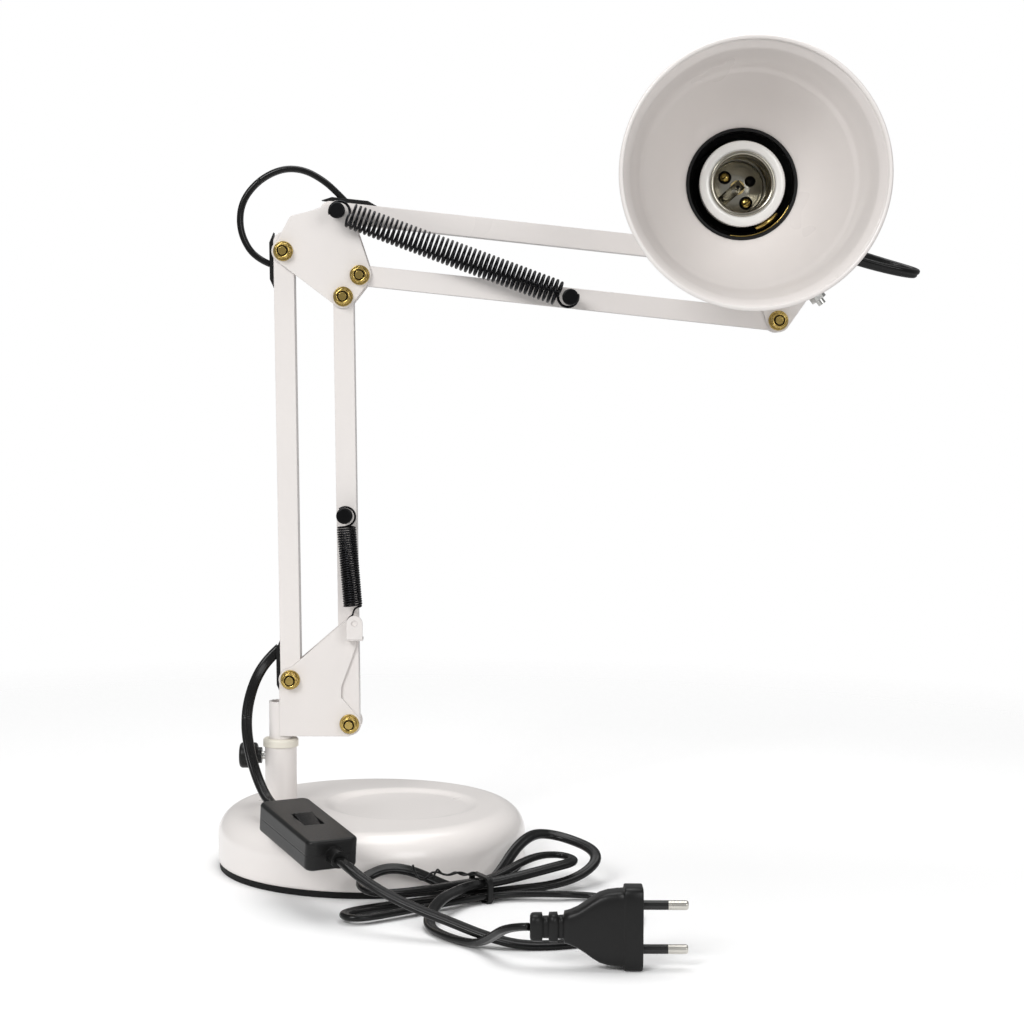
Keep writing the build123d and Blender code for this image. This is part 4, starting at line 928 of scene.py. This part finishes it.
class LAMP_OT_stage(bpy.types.Operator):
    """Sets the pale floor, the soft lights and the camera"""

    bl_idname = "lamp.stage"
    bl_label = "Stage"

    def execute(self, context):
        scene = context.scene
        scene.view_settings.view_transform = "Standard"
        made = Finish("studio_floor")
        pale = made.mix(made.noise(3.0), (0.95, 0.95, 0.95, 1.0), (0.98, 0.98, 0.98, 1.0))
        made.set(Base_Color=pale, Roughness=0.9)
        spot = made.node("ShaderNodeTexCoord", {}, {}, "Object")
        reach = made.node("ShaderNodeVectorMath", {"operation": "LENGTH"}, {0: spot}, "Value")
        away = made.ramp(reach, 0.30, 0.75)
        clear = made.node("ShaderNodeBsdfTransparent", {}, {}, 0)
        inputs = {0: away, 1: made.surface.outputs[0], 2: clear}
        faded = made.node("ShaderNodeMixShader", {}, inputs, 0)
        made.put(made.tree.nodes["Material Output"].inputs["Surface"], faded)
        mesh = bpy.data.meshes.new("studio_floor")
        mesh.from_pydata([(-2, -2, 0), (2, -2, 0), (2, 2, 0), (-2, 2, 0)], [], [(0, 1, 2, 3)])
        floor = bpy.data.objects.new("studio_floor", mesh)
        floor.data.materials.append(made.material)
        scene.collection.objects.link(floor)
        world = bpy.data.worlds.new("studio")
        scene.world = world
        world.use_nodes = True
        tree = world.node_tree
        sky = tree.nodes["Background"]
        sky.inputs["Color"].default_value = (1.0, 1.0, 1.0, 1.0)
        sky.inputs["Strength"].default_value = 0.32
        plain = tree.nodes.new("ShaderNodeBackground")
        plain.inputs["Color"].default_value = (1.0, 1.0, 1.0, 1.0)
        rays = tree.nodes.new("ShaderNodeLightPath")
        mixed = tree.nodes.new("ShaderNodeMixShader")
        tree.links.new(rays.outputs["Is Camera Ray"], mixed.inputs[0])
        tree.links.new(sky.outputs[0], mixed.inputs[1])
        tree.links.new(plain.outputs[0], mixed.inputs[2])
        tree.links.new(mixed.outputs[0], tree.nodes["World Output"].inputs["Surface"])
        for name, spot, size, power in (
            ("key", (-0.75, -1.45, 1.15), 0.7, 17.0),
            ("fill", (1.0, -1.6, 0.75), 0.8, 8.0),
            ("top", (0.1, 0.2, 1.6), 1.3, 17.0),
        ):
            lamp = bpy.data.lights.new(name, "AREA")
            lamp.size = size
            lamp.energy = power
            holder = bpy.data.objects.new(name, lamp)
            holder.location = spot
            aim = Vector(lights_aim) - Vector(spot)
            holder.rotation_euler = aim.to_track_quat("-Z", "Y").to_euler()
            scene.collection.objects.link(holder)
        lens = bpy.data.cameras.new("photo_camera")
        lens.sensor_width = 36.0
        lens.lens = camera_lens
        lens.clip_end = 40.0
        camera = bpy.data.objects.new("photo_camera", lens)
        yaw = Matrix.Rotation(math.radians(camera_yaw), 4, "Z")
        tilt = Matrix.Rotation(math.radians(90 - camera_pitch), 4, "X")
        roll = Matrix.Rotation(math.radians(camera_roll), 4, "Z")
        camera.matrix_world = Matrix.Translation(camera_at) @ yaw @ tilt @ roll
        scene.collection.objects.link(camera)
        scene.camera = camera
        return {"FINISHED"}


class LAMP_PT_panel(bpy.types.Panel):
    """Lists the lamp's pieces in the sidebar"""

    bl_idname = "LAMP_PT_panel"
    bl_label = "Table lamp"
    bl_space_type = "VIEW_3D"
    bl_region_type = "UI"
    bl_category = "Lamp"

    def draw(self, context):
        for maker in operators:
            self.layout.operator(maker.bl_idname)


operators = (
    LAMP_OT_finishes, LAMP_OT_stage, LAMP_OT_base, LAMP_OT_plug, LAMP_OT_cords, LAMP_OT_springs, LAMP_OT_nuts,
    LAMP_OT_shade, LAMP_OT_socket,
)
classes = (LampSizes, LampColours, *operators, LAMP_PT_panel)


def register():
    """Registers the classes and the two groups of properties."""
    for kind in classes:
        bpy.utils.register_class(kind)
    bpy.types.Scene.lamp_sizes = PointerProperty(type=LampSizes)
    bpy.types.Scene.lamp_colours = PointerProperty(type=LampColours)


def unregister():
    """Removes the properties and the classes."""
    del bpy.types.Scene.lamp_colours
    del bpy.types.Scene.lamp_sizes
    for kind in reversed(classes):
        bpy.utils.unregister_class(kind)


def main():
    """Makes the pieces in order."""
    register()
    bpy.ops.lamp.finishes()
    bpy.ops.lamp.stage()
    bpy.ops.lamp.base()
    bpy.ops.lamp.plug()
    bpy.ops.lamp.cords()
    bpy.ops.lamp.springs()
    bpy.ops.lamp.nuts()
    bpy.ops.lamp.shade()
    bpy.ops.lamp.socket()


if __name__ == "__main__":
    main()
